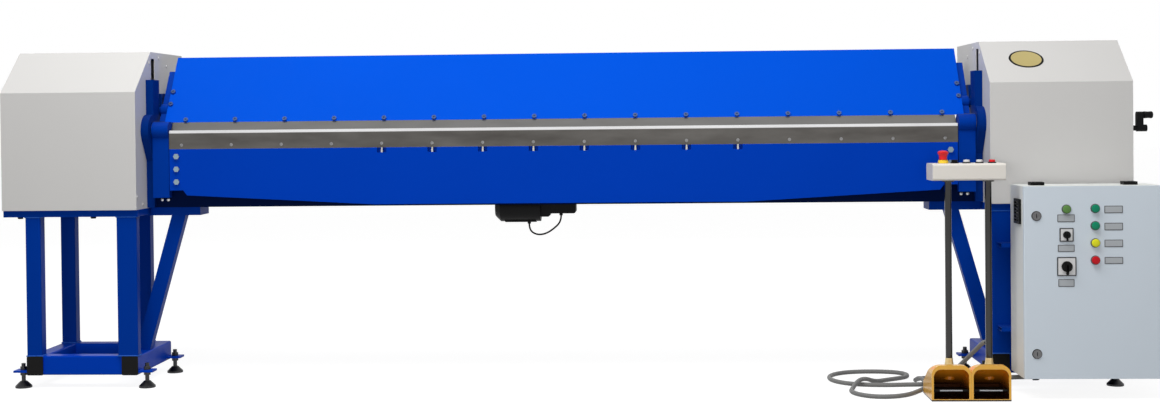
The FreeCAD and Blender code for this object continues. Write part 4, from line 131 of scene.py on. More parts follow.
def skin(rows):
    """A closed skin over rows shaped (rings, sides, 3): quads between rings and a fan over each end."""
    rings, sides = rows.shape[:2]
    here = np.arange(rings * sides).reshape(rings, sides)
    beside = np.roll(here, -1, axis=1)
    quads = np.stack([here[:-1], beside[:-1], beside[1:], here[1:]], axis=-1).reshape(-1, 4)
    start, end = rings * sides, rings * sides + 1
    first_fan = np.stack([np.full(sides, start), beside[0], here[0]], axis=-1)
    last_fan = np.stack([np.full(sides, end), here[-1], beside[-1]], axis=-1)
    points = np.concatenate([rows.reshape(-1, 3), rows[:1].mean(axis=1), rows[-1:].mean(axis=1)])
    return points, quads.tolist() + first_fan.tolist() + last_fan.tolist()


def tube(path, radius, sides, upright=(0.0, 0.0, 1.0)):
    """Rings square to a path: the path point plus radius times (cos a, sin a) on two side directions."""
    along = unit(np.gradient(path, axis=0))
    aside = unit(np.cross(along, np.asarray(upright)))
    above = np.cross(aside, along)
    angle = ring_angles(sides)[None, :, None]
    reach = np.broadcast_to(np.asarray(radius, dtype=float), (len(path),))[:, None, None]
    return skin(path[:, None] + reach * (np.cos(angle) * aside[:, None] + np.sin(angle) * above[:, None]))


# An axis to turn about, then the two directions of the circle round it. The y axis points to the front.
AXES = {
    "x": ((1, 0, 0), (0, 1, 0), (0, 0, 1)),
    "y": ((0, -1, 0), (1, 0, 0), (0, 0, 1)),
    "z": ((0, 0, 1), (1, 0, 0), (0, 1, 0)),
}
CORNER_POINTS = 6


def turned(profile, centre, axes, sides):
    """A profile of (radius, height) pairs turned about an axis: centre + height * axis + radius * circle."""
    along, first, second = (np.asarray(v, dtype=float) for v in axes)
    profile = np.asarray(profile, dtype=float)
    angle = ring_angles(sides)[None, :, None]
    circle = np.cos(angle) * first + np.sin(angle) * second
    middle = np.asarray(centre, dtype=float)
    return skin(middle + profile[:, 1, None, None] * along + profile[:, 0, None, None] * circle)


def slab(size, corner, thickness, centre, edge, axes=AXES["y"]):
    """A plate with rounded corners and a rounded edge, raised along an axis.

    Each row is four quarter circles about inset corner centres; a row's inset follows one minus a cosine
    and its rise a sine.
    """
    along, across, over = (np.asarray(v, dtype=float) for v in axes)
    quarter = np.linspace(0, math.pi / 2, CORNER_POINTS)
    angle = (np.arange(4)[:, None] * math.pi / 2 + quarter[None, :]).ravel()
    side = np.repeat([[1, 1], [-1, 1], [-1, -1], [1, -1]], CORNER_POINTS, axis=0)
    middle = side * (np.asarray(size) / 2 - corner)
    round_edge = np.linspace(0, math.pi / 2, 4)
    inset = np.concatenate([[0.0], edge * (1 - np.cos(round_edge)), [edge + corner * 0.5]])
    rise = np.concatenate([[0.0], thickness - edge + edge * np.sin(round_edge), [thickness]])
    reach = np.maximum(corner - inset, 0.05)[:, None]
    shrink = np.maximum(inset - corner, 0.0)[:, None, None] * side[None]
    flat = middle[None] - shrink + reach[..., None] * np.stack([np.cos(angle), np.sin(angle)], axis=-1)[None]
    return skin(np.asarray(centre, dtype=float) + flat[..., :1] * across + flat[..., 1:] * over
                + rise[:, None, None] * along)


def make_piece(name, body, finish, shapes, smooth_angle=35, replaced=()):
    """One mesh object from (points, faces) shapes in drawing millimetres, riding on a body.

    Its one material slot holds the finish that is passed in.
    """
    points, faces, start = [], [], 0
    for shape_points, shape_faces in shapes:
        points.append(shape_points)
        faces.extend([corner + start for corner in face] for face in shape_faces)
        start += len(shape_points)
    mesh = bpy.data.meshes.new(name)
    mesh.from_pydata(place(np.concatenate(points)).tolist(), [], faces)
    shell = bmesh.new()
    shell.from_mesh(mesh)
    bmesh.ops.recalc_face_normals(shell, faces=shell.faces)
    shell.to_mesh(mesh)
    shell.free()
    mesh.shade_smooth()
    mesh.set_sharp_from_angle(angle=math.radians(smooth_angle))
    mesh.materials.append(FINISHES[finish])
    piece = into_scene(name, mesh)
    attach(piece, body)
    if replaced:
        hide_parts(*replaced)
    print(name, len(mesh.polygons), "faces on", body)
    return piece


# %% [markdown]
# ## Finishes: what every painted or ground surface shares
#
# Real paint is never one flat colour. It has a fine orange-peel ripple, faint cloudy variation, dust
# where it faces up and brighter rubbed edges; on the pedal hoods the rubbed colour is a painted
# highlight along the edges. These effects are used by many finishes, so each is a node group with named
# inputs. A Bevel node inside rounds the hard edges of the solids for the light.

# %% Node helpers
def add(tree, kind, **values):
    """A node with its properties set by name."""
    made = tree.nodes.new(kind)
    for key, value in values.items():
        setattr(made, key, value)
    return made


def feed(tree, socket, value):
    """Fill a socket: a number or a colour is set on it, and another node's result is joined to it."""
    if isinstance(value, tuple):
        socket.default_value = (*value, 1.0)
    elif isinstance(value, (int, float)):
        socket.default_value = value
    else:
        tree.links.new(value, socket)


def math_node(tree, operation, *values):
    """A Math node on up to three sockets or plain numbers, and its result."""
    made = add(tree, "ShaderNodeMath", operation=operation)
    for socket, value in zip(made.inputs, values):
        feed(tree, socket, value)
    return made.outputs[0]


def times(tree, first, second):
    """The product of two sockets or plain numbers."""
    return math_node(tree, "MULTIPLY", first, second)


def blend_colours(tree, factor, first, second, mode="MIX"):
    """A colour mix of sockets or plain colours."""
    made = add(tree, "ShaderNodeMix", data_type="RGBA", blend_type=mode)
    for socket_number, value in ((0, factor), (6, first), (7, second)):
        feed(tree, made.inputs[socket_number], value)
    return made.outputs[2]


COLOUR, NUMBER, VECTOR = "NodeSocketColor", "NodeSocketFloat", "NodeSocketVector"


def new_group(name, inputs):
    """A shader node group with number and colour inputs, and a colour, a roughness and a normal put out."""
    tree = bpy.data.node_groups.new(name, "ShaderNodeTree")
    for label, value in inputs.items():
        kind = COLOUR if isinstance(value, tuple) else NUMBER
        feed(tree, tree.interface.new_socket(name=label, in_out="INPUT", socket_type=kind), value)
    for label, kind in {"Color": COLOUR, "Roughness": NUMBER, "Normal": VECTOR}.items():
        tree.interface.new_socket(name=label, in_out="OUTPUT", socket_type=kind)
    return tree, add(tree, "NodeGroupInput").outputs, add(tree, "NodeGroupOutput").inputs


def noise(tree, scale, stretch=(1.0, 1.0, 1.0), detail=3.0):
    """Noise on Object coordinates, stretched along the axes, and its grey value."""
    coordinates = add(tree, "ShaderNodeTexCoord").outputs["Object"]
    mapping = add(tree, "ShaderNodeMapping")
    mapping.inputs["Scale"].default_value = stretch
    tree.links.new(coordinates, mapping.inputs["Vector"])
    made = add(tree, "ShaderNodeTexNoise")
    made.inputs["Detail"].default_value = detail
    tree.links.new(mapping.outputs["Vector"], made.inputs["Vector"])
    made.inputs["Scale"].default_value = scale
    return made.outputs["Fac"]


def bump(tree, height, strength, distance, normal):
    """A Bump node: a height raised by a strength over a distance in metres, on top of a normal."""
    made = add(tree, "ShaderNodeBump")
    made.inputs["Distance"].default_value = distance
    tree.links.new(strength, made.inputs["Strength"])
    tree.links.new(height, made.inputs["Height"])
    tree.links.new(normal, made.inputs["Normal"])
    return made.outputs["Normal"]


def rounded_normal(tree, radius):
    """The light sees each hard edge as if rounded to this radius in metres."""
    made = add(tree, "ShaderNodeBevel", samples=4)
    made.inputs["Radius"].default_value = radius
    return made.outputs["Normal"]


EDGE_SHARPNESS = 5.0


def edge_mask(tree, normal):
    """One where the rounded normal leaves the flat one: one minus their dot product, sharpened."""
    flat = add(tree, "ShaderNodeNewGeometry").outputs["Normal"]
    dot = add(tree, "ShaderNodeVectorMath", operation="DOT_PRODUCT")
    tree.links.new(normal, dot.inputs[0])
    tree.links.new(flat, dot.inputs[1])
    away = math_node(tree, "SUBTRACT", 1.0, dot.outputs["Value"])
    return math_node(tree, "MINIMUM", times(tree, away, EDGE_SHARPNESS), 1.0)


def facing_up(tree):
    """One on faces that look up, nothing on walls: the normal's height, squared."""
    split = add(tree, "ShaderNodeSeparateXYZ")
    tree.links.new(add(tree, "ShaderNodeNewGeometry").outputs["Normal"], split.inputs[0])
    return math_node(tree, "POWER", math_node(tree, "MAXIMUM", split.outputs["Z"], 0.0), 2.0)


print("node helpers ready")


# %% Paint group
def paint_group():
    """Sprayed paint: cloudy tint, orange peel, dust on upper faces, and rubbed edges whose colour also
    serves as a painted edge highlight.
    """
    tree, inputs, outputs = new_group("sprayed paint", {
        "Gloss": 0.3, "Peel": 0.15, "Dust": 0.15, "Wear": 0.3, "Cloud": 0.06,
        "Paint": (0.5, 0.5, 0.5), "Rubbed_and_Highlight": (0.6, 0.6, 0.6)})
    rounded = rounded_normal(tree, 0.0015)
    cloud = math_node(tree, "SUBTRACT", noise(tree, 3.0, detail=4.0), 0.5)
    shade = math_node(tree, "MULTIPLY_ADD", cloud, inputs["Cloud"], 1.0)
    tint = add(tree, "ShaderNodeCombineColor")
    for channel in range(3):
        tree.links.new(shade, tint.inputs[channel])
    painted = blend_colours(tree, 1.0, inputs["Paint"], tint.outputs[0], "MULTIPLY")
    speckle = noise(tree, 60.0, detail=6.0)
    rub_and_highlight_mask = times(tree, edge_mask(tree, rounded), math_node(tree, "GREATER_THAN", speckle, 0.52))
    worn_and_highlit = blend_colours(tree, times(tree, rub_and_highlight_mask, inputs["Wear"]), painted, inputs["Rubbed_and_Highlight"])
    settled = times(tree, facing_up(tree), noise(tree, 9.0, detail=5.0))
    dust = times(tree, settled, inputs["Dust"])
    tree.links.new(blend_colours(tree, dust, worn_and_highlit, (0.52, 0.49, 0.44)), outputs["Color"])
    gloss = math_node(tree, "MULTIPLY_ADD", noise(tree, 14.0, detail=4.0), 0.12, inputs["Gloss"])
    tree.links.new(math_node(tree, "ADD", gloss, times(tree, dust, 0.6)), outputs["Roughness"])
    ripple = noise(tree, 420.0, detail=1.0)
    tree.links.new(bump(tree, ripple, inputs["Peel"], 0.0004, rounded), outputs["Normal"])
    return tree


def metal_group():
    """Bare worked metal: grinding lines along one axis, faint stains and bright edges."""
    tree, inputs, outputs = new_group("worked metal", {
        "Gloss": 0.3, "Lines": 0.2, "Stain": 0.2, "Length": 4.0, "Cross": 700.0,
        "Metal": (0.6, 0.6, 0.6), "Stained": (0.3, 0.3, 0.3)})
    rounded = rounded_normal(tree, 0.0008)
    stretch = add(tree, "ShaderNodeCombineXYZ")
    tree.links.new(inputs["Length"], stretch.inputs["X"])
    tree.links.new(inputs["Cross"], stretch.inputs["Y"])
    tree.links.new(inputs["Cross"], stretch.inputs["Z"])
    stretched = add(tree, "ShaderNodeVectorMath", operation="MULTIPLY")
    tree.links.new(add(tree, "ShaderNodeTexCoord").outputs["Object"], stretched.inputs[0])
    tree.links.new(stretch.outputs[0], stretched.inputs[1])
    lines = add(tree, "ShaderNodeTexNoise")
    lines.inputs["Scale"].default_value = 1.0
    lines.inputs["Detail"].default_value = 4.0
    tree.links.new(stretched.outputs[0], lines.inputs["Vector"])
    stain = times(tree, noise(tree, 5.0, (1.0, 4.0, 4.0), 6.0), inputs["Stain"])
    bare = blend_colours(tree, stain, inputs["Metal"], inputs["Stained"])
    bright = times(tree, edge_mask(tree, rounded), 0.35)
    tree.links.new(blend_colours(tree, bright, bare, (0.8, 0.8, 0.8)), outputs["Color"])
    ground = lines.outputs["Fac"]
    tree.links.new(math_node(tree, "MULTIPLY_ADD", ground, 0.16, inputs["Gloss"]), outputs["Roughness"])
    tree.links.new(bump(tree, ground, inputs["Lines"], 0.0002, rounded), outputs["Normal"])
    return tree


def moulded_group():
    """Moulded plastic or rubber: a fine spark-eroded grain and faint handling marks."""
    tree, inputs, outputs = new_group("moulded skin", {
        "Gloss": 0.4, "Grain": 0.2, "Handled": 0.2, "Skin": (0.1, 0.1, 0.1)})
    rounded = rounded_normal(tree, 0.0008)
    marks = noise(tree, 40.0, detail=5.0)
    pale = blend_colours(tree, 0.5, inputs["Skin"], (0.35, 0.35, 0.34))
    handled = times(tree, times(tree, marks, marks), inputs["Handled"])
    tree.links.new(blend_colours(tree, handled, inputs["Skin"], pale), outputs["Color"])
    tree.links.new(math_node(tree, "MULTIPLY_ADD", marks, 0.18, inputs["Gloss"]), outputs["Roughness"])
    grain = noise(tree, 1500.0, detail=2.0)
    tree.links.new(bump(tree, grain, inputs["Grain"], 0.0002, rounded), outputs["Normal"])
    return tree


GROUPS = {"paint": paint_group(), "metal": metal_group(), "moulded": moulded_group()}
print("node groups:", sorted(GROUPS))

# %% [markdown]
# ## The shop's finishes
#
# Each finish places one group in a material, gives it its own colours and amounts, and joins it to a
# Principled shader. Metal, coat and shine are plain numbers on the shader itself.

# %% Materials
FINISHES = {}


def new_material(name):
    """A material with its node tree and its Principled shader."""
    material = bpy.data.materials.new(name)
    material.use_nodes = True
    return material, material.node_tree, material.node_tree.nodes["Principled BSDF"]


def finish(name, group, amounts, metal=0.0, coat=0.0, specular=0.5):
    """A material kept in FINISHES: one group feeding colour, roughness and normal of its shader.

    The node tree, the colour that the group puts out and the shader's colour input come back, for
    finishes that add to it.
    """
    FINISHES[name], tree, shader = new_material(name)
    made = add(tree, "ShaderNodeGroup", node_tree=GROUPS[group])
    for label, value in amounts.items():
        feed(tree, made.inputs[label], value)
    shader.inputs["Metallic"].default_value = metal
    shader.inputs["Coat Weight"].default_value = coat
    shader.inputs["Coat Roughness"].default_value = 0.12
    shader.inputs["Specular IOR Level"].default_value = specular
    tree.links.new(made.outputs["Color"], shader.inputs["Base Color"])
    tree.links.new(made.outputs["Roughness"], shader.inputs["Roughness"])
    tree.links.new(made.outputs["Normal"], shader.inputs["Normal"])
    return tree, made.outputs["Color"], shader.inputs["Base Color"]


def paint(name, colour, rubbed_and_highlight=(0.05, 0.16, 0.55), shine=0.04, **amounts):
    """A painted finish. The shine is kept low, because a saturated paint looks chalky under a white sky."""
    return finish(name, "paint", {"Paint": colour, "Rubbed_and_Highlight": rubbed_and_highlight, **amounts}, specular=shine)


def steel(name, colour, stained, coat=0.0, **amounts):
    """A bare metal finish. A clear coat adds the bright rims of a polished tube."""
    return finish(name, "metal", {"Metal": colour, "Stained": stained, **amounts}, metal=1.0, coat=coat)


def moulded(name, colour, coat=0.0, shine=0.3, **amounts):
    """A plastic or rubber finish."""
    return finish(name, "moulded", {"Skin": colour, **amounts}, coat=coat, specular=shine)


# Machined screws and cast pieces show no long grinding lines, so their grain is even in all directions.
EVEN = {"Length": 60.0, "Cross": 60.0}
BARE_STEEL = (0.4, 0.4, 0.4)
WORN_CABINET = (0.42, 0.44, 0.46)

# One blue paint at several depths of painted light and shade: the first blue is the brightest. The apron and
# base-tube blue, the stand navy, the side frame blue and the bed blue are the same paint set darker as
# painted shade.
paint("blue_paint", (0.0, 0.077, 0.62), Gloss=0.3, Peel=0.12, Dust=0.0, Cloud=0.06)
paint("apron_mid_shade_blue", (0.0, 0.047, 0.47), Gloss=0.3, Peel=0.12, Dust=0.0, Cloud=0.08)
paint("navy_paint", (0.0, 0.037, 0.32), Gloss=0.32, Peel=0.16, Dust=0.03, Cloud=0.10)
paint("frame_deep_shade_blue", (0.0, 0.024, 0.19), Gloss=0.32, Peel=0.16, Dust=0.02, Cloud=0.10)
paint("bed_deep_shade_blue", (0.0, 0.006, 0.045), (0.01, 0.03, 0.12), Gloss=0.4, Peel=0.16, Dust=0.0)
paint("housing_paint", (0.645, 0.636, 0.622), (0.5, 0.5, 0.5), 0.3, Gloss=0.42, Peel=0.3, Dust=0.05,
      Wear=0.12, Cloud=0.03)
paint("cabinet_paint", (0.70, 0.775, 0.85), WORN_CABINET, 0.3, Gloss=0.45, Peel=0.45, Dust=0.04, Wear=0.15,
      Cloud=0.03)
paint("body_paint", (0.83, 0.855, 0.83), WORN_CABINET, 0.3, Gloss=0.45, Peel=0.45, Dust=0.04, Wear=0.15,
      Cloud=0.03)
paint("box_paint", (0.83, 0.79, 0.73), BARE_STEEL, 0.3, Gloss=0.4, Peel=0.25, Wear=0.2, Dust=0.03)
paint("drive_black", (0.004, 0.004, 0.0045), (0.06, 0.06, 0.06), 0.12, Gloss=0.4, Peel=0.3, Dust=0.02)
paint("drive_grey", (0.17, 0.19, 0.21), BARE_STEEL, 0.3, Gloss=0.4, Peel=0.5, Dust=0.2)
paint("weld_paint", (0.03, 0.13, 0.55), (0.3, 0.45, 0.8), Gloss=0.3, Peel=0.3, Dust=0.0, Wear=0.8)
steel("blade_steel", (0.47, 0.46, 0.44), (0.24, 0.23, 0.21), Gloss=0.22, Lines=0.25, Stain=0.5)
steel("clamp_steel", (0.25, 0.247, 0.24), (0.12, 0.115, 0.11), Gloss=0.26, Lines=0.25, Stain=0.6)
steel("dull_screw", (0.42, 0.42, 0.43), (0.2, 0.2, 0.2), Gloss=0.42, Lines=0.1, Stain=0.5, **EVEN)
steel("sunk_screw", (0.12, 0.19, 0.42), (0.05, 0.08, 0.18), Gloss=0.36, Lines=0.1, Stain=0.5, **EVEN)
steel("blue_bolt", (0.34, 0.44, 0.50), (0.16, 0.22, 0.28), Gloss=0.36, Lines=0.1, Stain=0.5, **EVEN)
steel("black_screw", (0.05, 0.05, 0.052), (0.025, 0.025, 0.025), Gloss=0.34, Lines=0.1, **EVEN)
steel("lock_steel", (0.16, 0.16, 0.165), (0.09, 0.09, 0.09), Gloss=0.34, Lines=0.1, **EVEN)
steel("bright_steel", (0.62, 0.63, 0.64), (0.4, 0.38, 0.34), Gloss=0.26, Lines=0.1, Stain=0.3, **EVEN)
steel("post_chrome", (0.026, 0.025, 0.024), (0.012, 0.011, 0.010), coat=0.7, Gloss=0.08, Lines=0.05,
      Stain=0.3, Length=300.0, Cross=6.0)
steel("bush_bronze", (0.55, 0.36, 0.16), (0.3, 0.2, 0.1), Gloss=0.3, Lines=0.15, **EVEN)
steel("sleeve_brass", (0.80, 0.64, 0.34), (0.5, 0.36, 0.15), Gloss=0.26, Lines=0.15, Stain=0.4, **EVEN)
steel("badge_brass", (0.60, 0.50, 0.22), (0.40, 0.32, 0.12), Gloss=0.28, Lines=0.3, Stain=0.4, Length=40.0,
      Cross=40.0)
moulded("black_plastic", (0.004, 0.004, 0.004), shine=0.12, Gloss=0.42, Handled=0.03)
moulded("dark_rubber", (0.006, 0.0055, 0.005), shine=0.12, Gloss=0.65, Grain=0.5, Handled=0.12)
moulded("hose_grey", (0.20, 0.20, 0.195), Gloss=0.36, Handled=0.25)
moulded("red_plastic", (0.72, 0.008, 0.014), coat=0.15, Gloss=0.25, Grain=0.05, Handled=0.05)
moulded("white_plastic", (0.74, 0.74, 0.74), coat=0.4, Gloss=0.28, Grain=0.05, Handled=0.06)
moulded("yellow_plastic", (0.92, 0.62, 0.04), coat=0.2, Gloss=0.3, Grain=0.05, Handled=0.05)
moulded("panel_plastic", (0.05, 0.052, 0.056), Gloss=0.4, Grain=0.1, Handled=0.1)
moulded("label_plastic", (0.46, 0.485, 0.51), Gloss=0.42, Grain=0.1, Handled=0.1)
moulded("label_rim", (0.10, 0.105, 0.11), Gloss=0.42, Grain=0.1, Handled=0.1)
print(len(FINISHES), "plain finishes")

# %% [markdown]
# ## Two finishes that change over the piece
#
# The folding blade's top edge carries a painted highlight, a bright band, and the rest of it is dark. The
# pedal hoods are yellow outside, and inside them an orange lining is painted shade that turns dark
# towards the floor. Both changes follow from where a point lies, so Math nodes compare its place with
# the drawing's sizes.

# %% Finishes that follow the place
# The blade's painted highlight band, the foot of the painted shade inside the hoods and the sole are
# heights in metres, as the shader reads them.
# The hood's sizes are in drawing millimetres.
HIGHLIGHT_BAND_FOOT = 0.9975
HIGHLIGHT_BAND_RATE = 400.0
HIGHLIGHT_BAND_STEEL = (0.88, 0.88, 0.89)
HOOD_LEFT = 1371.0
HOOD_WIDTH = 143.0
HOOD_STEP = 143.3
HOOD_WALL = 4.5
HOOD_FRONT = -399.9
HOOD_BROW = -374.0
HOOD_CEILING = 124.5
HOOD_SLOPE = 0.5986
INNER_SHADE_FOOT = 0.040
INNER_SHADE_RATE = 18.0
INNER_SHADE_DARK = (0.05, 0.014, 0.004)
INNER_SHADE_ORANGE = (1.0, 0.34, 0.015)
SOLE_TOP = 0.0055
SOLE_BLACK = (0.012, 0.010, 0.008)


def point_place(tree):
    """The X, Y and Z of the shaded point in metres."""
    split = add(tree, "ShaderNodeSeparateXYZ")
    tree.links.new(add(tree, "ShaderNodeTexCoord").outputs["Object"], split.inputs[0])
    return split.outputs["X"], split.outputs["Y"], split.outputs["Z"]


def rising(tree, value, foot, rate):
    """Nothing up to the foot, then a straight rise by the rate per metre, up to one."""
    rise = times(tree, math_node(tree, "SUBTRACT", value, foot), rate)
    return math_node(tree, "MINIMUM", math_node(tree, "MAXIMUM", rise, 0.0), 1.0)


def within(tree, value, middle, reach):
    """One where the value lies nearer to the middle than the reach, else nothing."""
    away = math_node(tree, "ABSOLUTE", math_node(tree, "SUBTRACT", value, middle))
    return math_node(tree, "LESS_THAN", away, reach)


def tip_highlight_finish():
    """Dark folding blade steel whose top 10 mm carry a painted highlight, bright and faintly streaked: a
    rise on the height.
    """
    tree, dark_steel, base = steel("tip_highlight_steel", (0.18, 0.172, 0.162), (0.055, 0.05, 0.046), Gloss=0.26,
                                   Lines=0.25, Stain=1.0)
    height = point_place(tree)[2]
    streaks = math_node(tree, "MULTIPLY_ADD", noise(tree, 2.0, (1.0, 20.0, 20.0)), 0.3, 0.72)
    # Painted highlight: the blade's top band is blended towards bright steel by its height.
    tip_highlight = times(tree, rising(tree, height, HIGHLIGHT_BAND_FOOT, HIGHLIGHT_BAND_RATE), streaks)
    tree.links.new(blend_colours(tree, tip_highlight, dark_steel, HIGHLIGHT_BAND_STEEL), base)


def hood_finish():
    """Yellow enamel with cream painted highlights on its edges, and painted shade inside: an orange lining
    between the walls, behind the mouth and under the sloping roof, darker towards the floor.
    """
    # Painted highlight: the cream rubbed colour at full wear stands for light caught on the hood's edges.
    tree, enamel_and_edge_highlight, base = paint("hood_paint", (0.90, 0.47, 0.06), (0.98, 0.80, 0.36), 0.5, Gloss=0.2,
                               Peel=0.3, Dust=0.0, Wear=1.0)
    across, depth, height = point_place(tree)
    middle, front, _ = place([HOOD_LEFT + HOOD_WIDTH / 2, HOOD_FRONT, 0]).tolist()
    brow = float(place([0, HOOD_BROW, 0])[1])
    reach = (HOOD_WIDTH / 2 - HOOD_WALL) / 1000
    left_hood = within(tree, across, middle, reach)
    right_hood = within(tree, across, middle + HOOD_STEP / 1000, reach)
    between = math_node(tree, "MAXIMUM", left_hood, right_hood)
    behind = math_node(tree, "GREATER_THAN", depth, front)
    past_brow = math_node(tree, "MAXIMUM", math_node(tree, "SUBTRACT", depth, brow), 0.0)
    fall = times(tree, past_brow, HOOD_SLOPE)
    below = math_node(tree, "LESS_THAN", math_node(tree, "ADD", height, fall), HOOD_CEILING / 1000)
    # Painted shade: inside each hood the colour runs from orange to dark towards the floor.
    inside = times(tree, times(tree, between, behind), below)
    inner_shade = blend_colours(tree, rising(tree, height, INNER_SHADE_FOOT, INNER_SHADE_RATE), INNER_SHADE_DARK, INNER_SHADE_ORANGE)
    sole = math_node(tree, "LESS_THAN", height, SOLE_TOP)
    walls = blend_colours(tree, inside, enamel_and_edge_highlight, inner_shade)
    tree.links.new(blend_colours(tree, sole, walls, SOLE_BLACK), base)


hood_finish()
tip_highlight_finish()
print(len(FINISHES), "finishes")

# %% [markdown]
# ## Finishes on the solids
#
# The record lists the finish of every node. Most nodes take the finish of the same name. Where the
# machine looks different from piece to piece, the list below names a finer one: the sunk screws are
# blued, the folding beam and base tubes take a darker blue and the bed and side frames a deeper one,
# both as painted shade, and the folding blade is darker than the others, with a painted highlight
# along its top.

# %% Give each node its finish
NODE_FINISH = {part["node"]: part["material_slot"] for part in frame["record"]["subparts"]}
NODE_FINISH.update({
    "bending_blade": "tip_highlight_steel",
    "clamping_blade": "clamp_steel",
    "folding_beam": "apron_mid_shade_blue",
    "stand_bases": "apron_mid_shade_blue",
    "bed_beam": "bed_deep_shade_blue",
    "left_side_frame": "frame_deep_shade_blue",
    "right_side_frame": "frame_deep_shade_blue",
    "cabinet_body": "body_paint",
    "crank_arm": "drive_black",
    "button_collars": "black_plastic",
    "clamping_screws": "sunk_screw",
    "bending_screws": "dull_screw",
    "apron_bolts": "blue_bolt",
    "levelling_feet": "black_screw",
    "upper_door_lock": "lock_steel",
    "lower_door_lock": "lock_steel",
})

for node_name, node_object in frame["nodes"].items():
    chosen = FINISHES[NODE_FINISH[node_name]]
    if not node_object.material_slots:
        node_object.data.materials.append(chosen)
    for material_slot in node_object.material_slots:
        material_slot.material = chosen
print("finished", len(frame["nodes"]), "nodes")

# %% [markdown]
# ## The pendant's conduit
#
# A grey corrugated conduit, 17 mm across and 2.84 m long, leaves the gland behind the right pedal,
# drops to the floor, lies in two loose loops beside the pedals and runs back under the cabinet to an
# elbow in its floor. Its whole length shows, so nothing is coiled away. The route is a smooth NURBS
# line through listed control points, and the skin is a tube along it with a small rib every 6 mm.

# %% Conduit
HOSE_DIAMETER = 17.4
HOSE_RIB_PITCH = 6.0
HOSE_RIB_DEPTH = 0.45
HOSE_SIDES = 14
HOSE_ROUTE = [
    (1604, -256.5, 193), (1604, -212, 193), (1578, -150, 142), (1546, -88, 88), (1516, -30, 38),
    (1494, 20, 9), (1448, 46, 9), (1398, 28, 9), (1376, -20, 9), (1384, -72, 30), (1396, -120, 30),
    (1394, -170, 9), (1348, -248, 9), (1304, -312, 9), (1240, -352, 9), (1168, -350, 9), (1118, -304, 9),
    (1100, -246, 9), (1112, -194, 9), (1140, -140, 30), (1176, -84, 30), (1222, -38, 9), (1276, 2, 9),
    (1322, 32, 9), (1364, 70, 9), (1372, 124, 9), (1342, 168, 9), (1286, 188, 9), (1214, 192, 9),
    (1140, 176, 9), (1082, 130, 9), (1052, 60, 9), (1060, -18, 9), (1108, -80, 9), (1180, -108, 9),
    (1260, -114, 9), (1340, -104, 9), (1420, -100, 9), (1500, -118, 9), (1560, -140, 9),
    (1610, -160, 20), (1660, -180, 44), (1710, -200, 54), (1785, -200, 54),
]


def smooth_line(name, route):
    """Points of a NURBS line of order three, controlled by the route and read from Blender's own curve."""
    curve = bpy.data.curves.new(name, "CURVE")
    curve.dimensions = "3D"
    curve.resolution_u = 24
    spline = curve.splines.new("NURBS")
    spline.points.add(len(route) - 1)
    for control, point in zip(spline.points, place(route)):
        control.co = (*point, 1.0)
    spline.order_u = 3
    spline.use_endpoint_u = True
    holder = into_scene(name, curve)
    line = bpy.data.meshes.new_from_object(holder.evaluated_get(bpy.context.evaluated_depsgraph_get()))
    points = np.empty(len(line.vertices) * 3)
    line.vertices.foreach_get("co", points)
    bpy.data.objects.remove(holder)
    return points.reshape(-1, 3) * 1000.0 - DRAWING_SHIFT


def even_steps(line, step):
    """The same line with points at equal distances along it, by interpolation on its summed length."""
    run = np.concatenate([[0.0], np.cumsum(np.linalg.norm(np.diff(line, axis=0), axis=1))])
    places = np.linspace(0.0, run[-1], int(run[-1] / step) + 1)
    return np.stack([np.interp(places, run, line[:, axis]) for axis in range(3)], axis=-1), places


def make_conduit():
    """The tube's radius swells once per rib: full radius less half the depth times one minus a cosine."""
    line = smooth_line("hose line", HOSE_ROUTE)
    path, run = even_steps(line, HOSE_RIB_PITCH / 6)
    radius = HOSE_DIAMETER / 2 - HOSE_RIB_DEPTH * (0.5 - 0.5 * np.cos(2 * math.pi * run / HOSE_RIB_PITCH))
    hose = make_piece("conduit", "machine", "hose_grey", [tube(path, radius, HOSE_SIDES)],
                      smooth_angle=60, replaced=("pendant_hose",))
    return run[-1]


print("conduit is", round(make_conduit()), "mm long")

# %% [markdown]
# ## The motor's lead
#
# A thin black lead loops below the middle of the machine, from the gland under the clamping motor to
# the gland on its gearbox. It is held at both ends, so it hangs in one short deep bow.

# %% Motor lead
LEAD_DIAMETER = 7.0
LEAD_STEP = 2.0
LEAD_ROUTE = [(-140, 235, 613), (-140, 235, 587), (-112, 235, 567), (-76, 235, 569), (-42, 235, 589),
              (-9, 235, 620), (-9, 235, 646)]


def make_lead():
    """A plain round tube along the lead's line."""
    path, run = even_steps(smooth_line("lead line", LEAD_ROUTE), LEAD_STEP)
    shape = tube(path, LEAD_DIAMETER / 2, HOSE_SIDES, (0.0, 1.0, 0.0))
    lead = make_piece("motor_lead", "machine", "dark_rubber", [shape], replaced=("motor_cable",))
    return run[-1]


print("lead is", round(make_lead()), "mm long")

# %% [markdown]
# ## Lens caps and blank labels on the cabinet door
#
# The lamps on the door are moulded lenses in dark rings. A lens is a profile turned about its own axis:
# a short straight wall, then a low dome. Its skirt stands just outside the plain solid's lens. Blank
# labels lie beside or below the lamps and switches, and each is a small grey plate in a darker rim.

# %% Door details
DOOR_FACE = -381.0
LAMPS = {
    "pilot": (1862, 695, (0.11, 0.25, 0.06)),
    "upper_green": (1965, 697, (0.0, 0.24, 0.12)),
    "lower_green": (1965, 634.5, (0.0, 0.24, 0.12)),
    "yellow": (1965, 572, (0.80, 0.78, 0.02)),
    "red": (1965, 509.5, (0.60, 0.004, 0.012)),
}
LENS_RADIUS = 14.3
LENS_STAND = 11.2
LENS_DOME = 3.2
LENS_SHINE = 0.15
BEZEL_PROFILE = [(17.0, 0.2), (17.0, 3.6), (16.6, 4.9), (16.0, 5.6), (15.2, 5.8), (14.6, 5.4), (14.4, 5.1)]


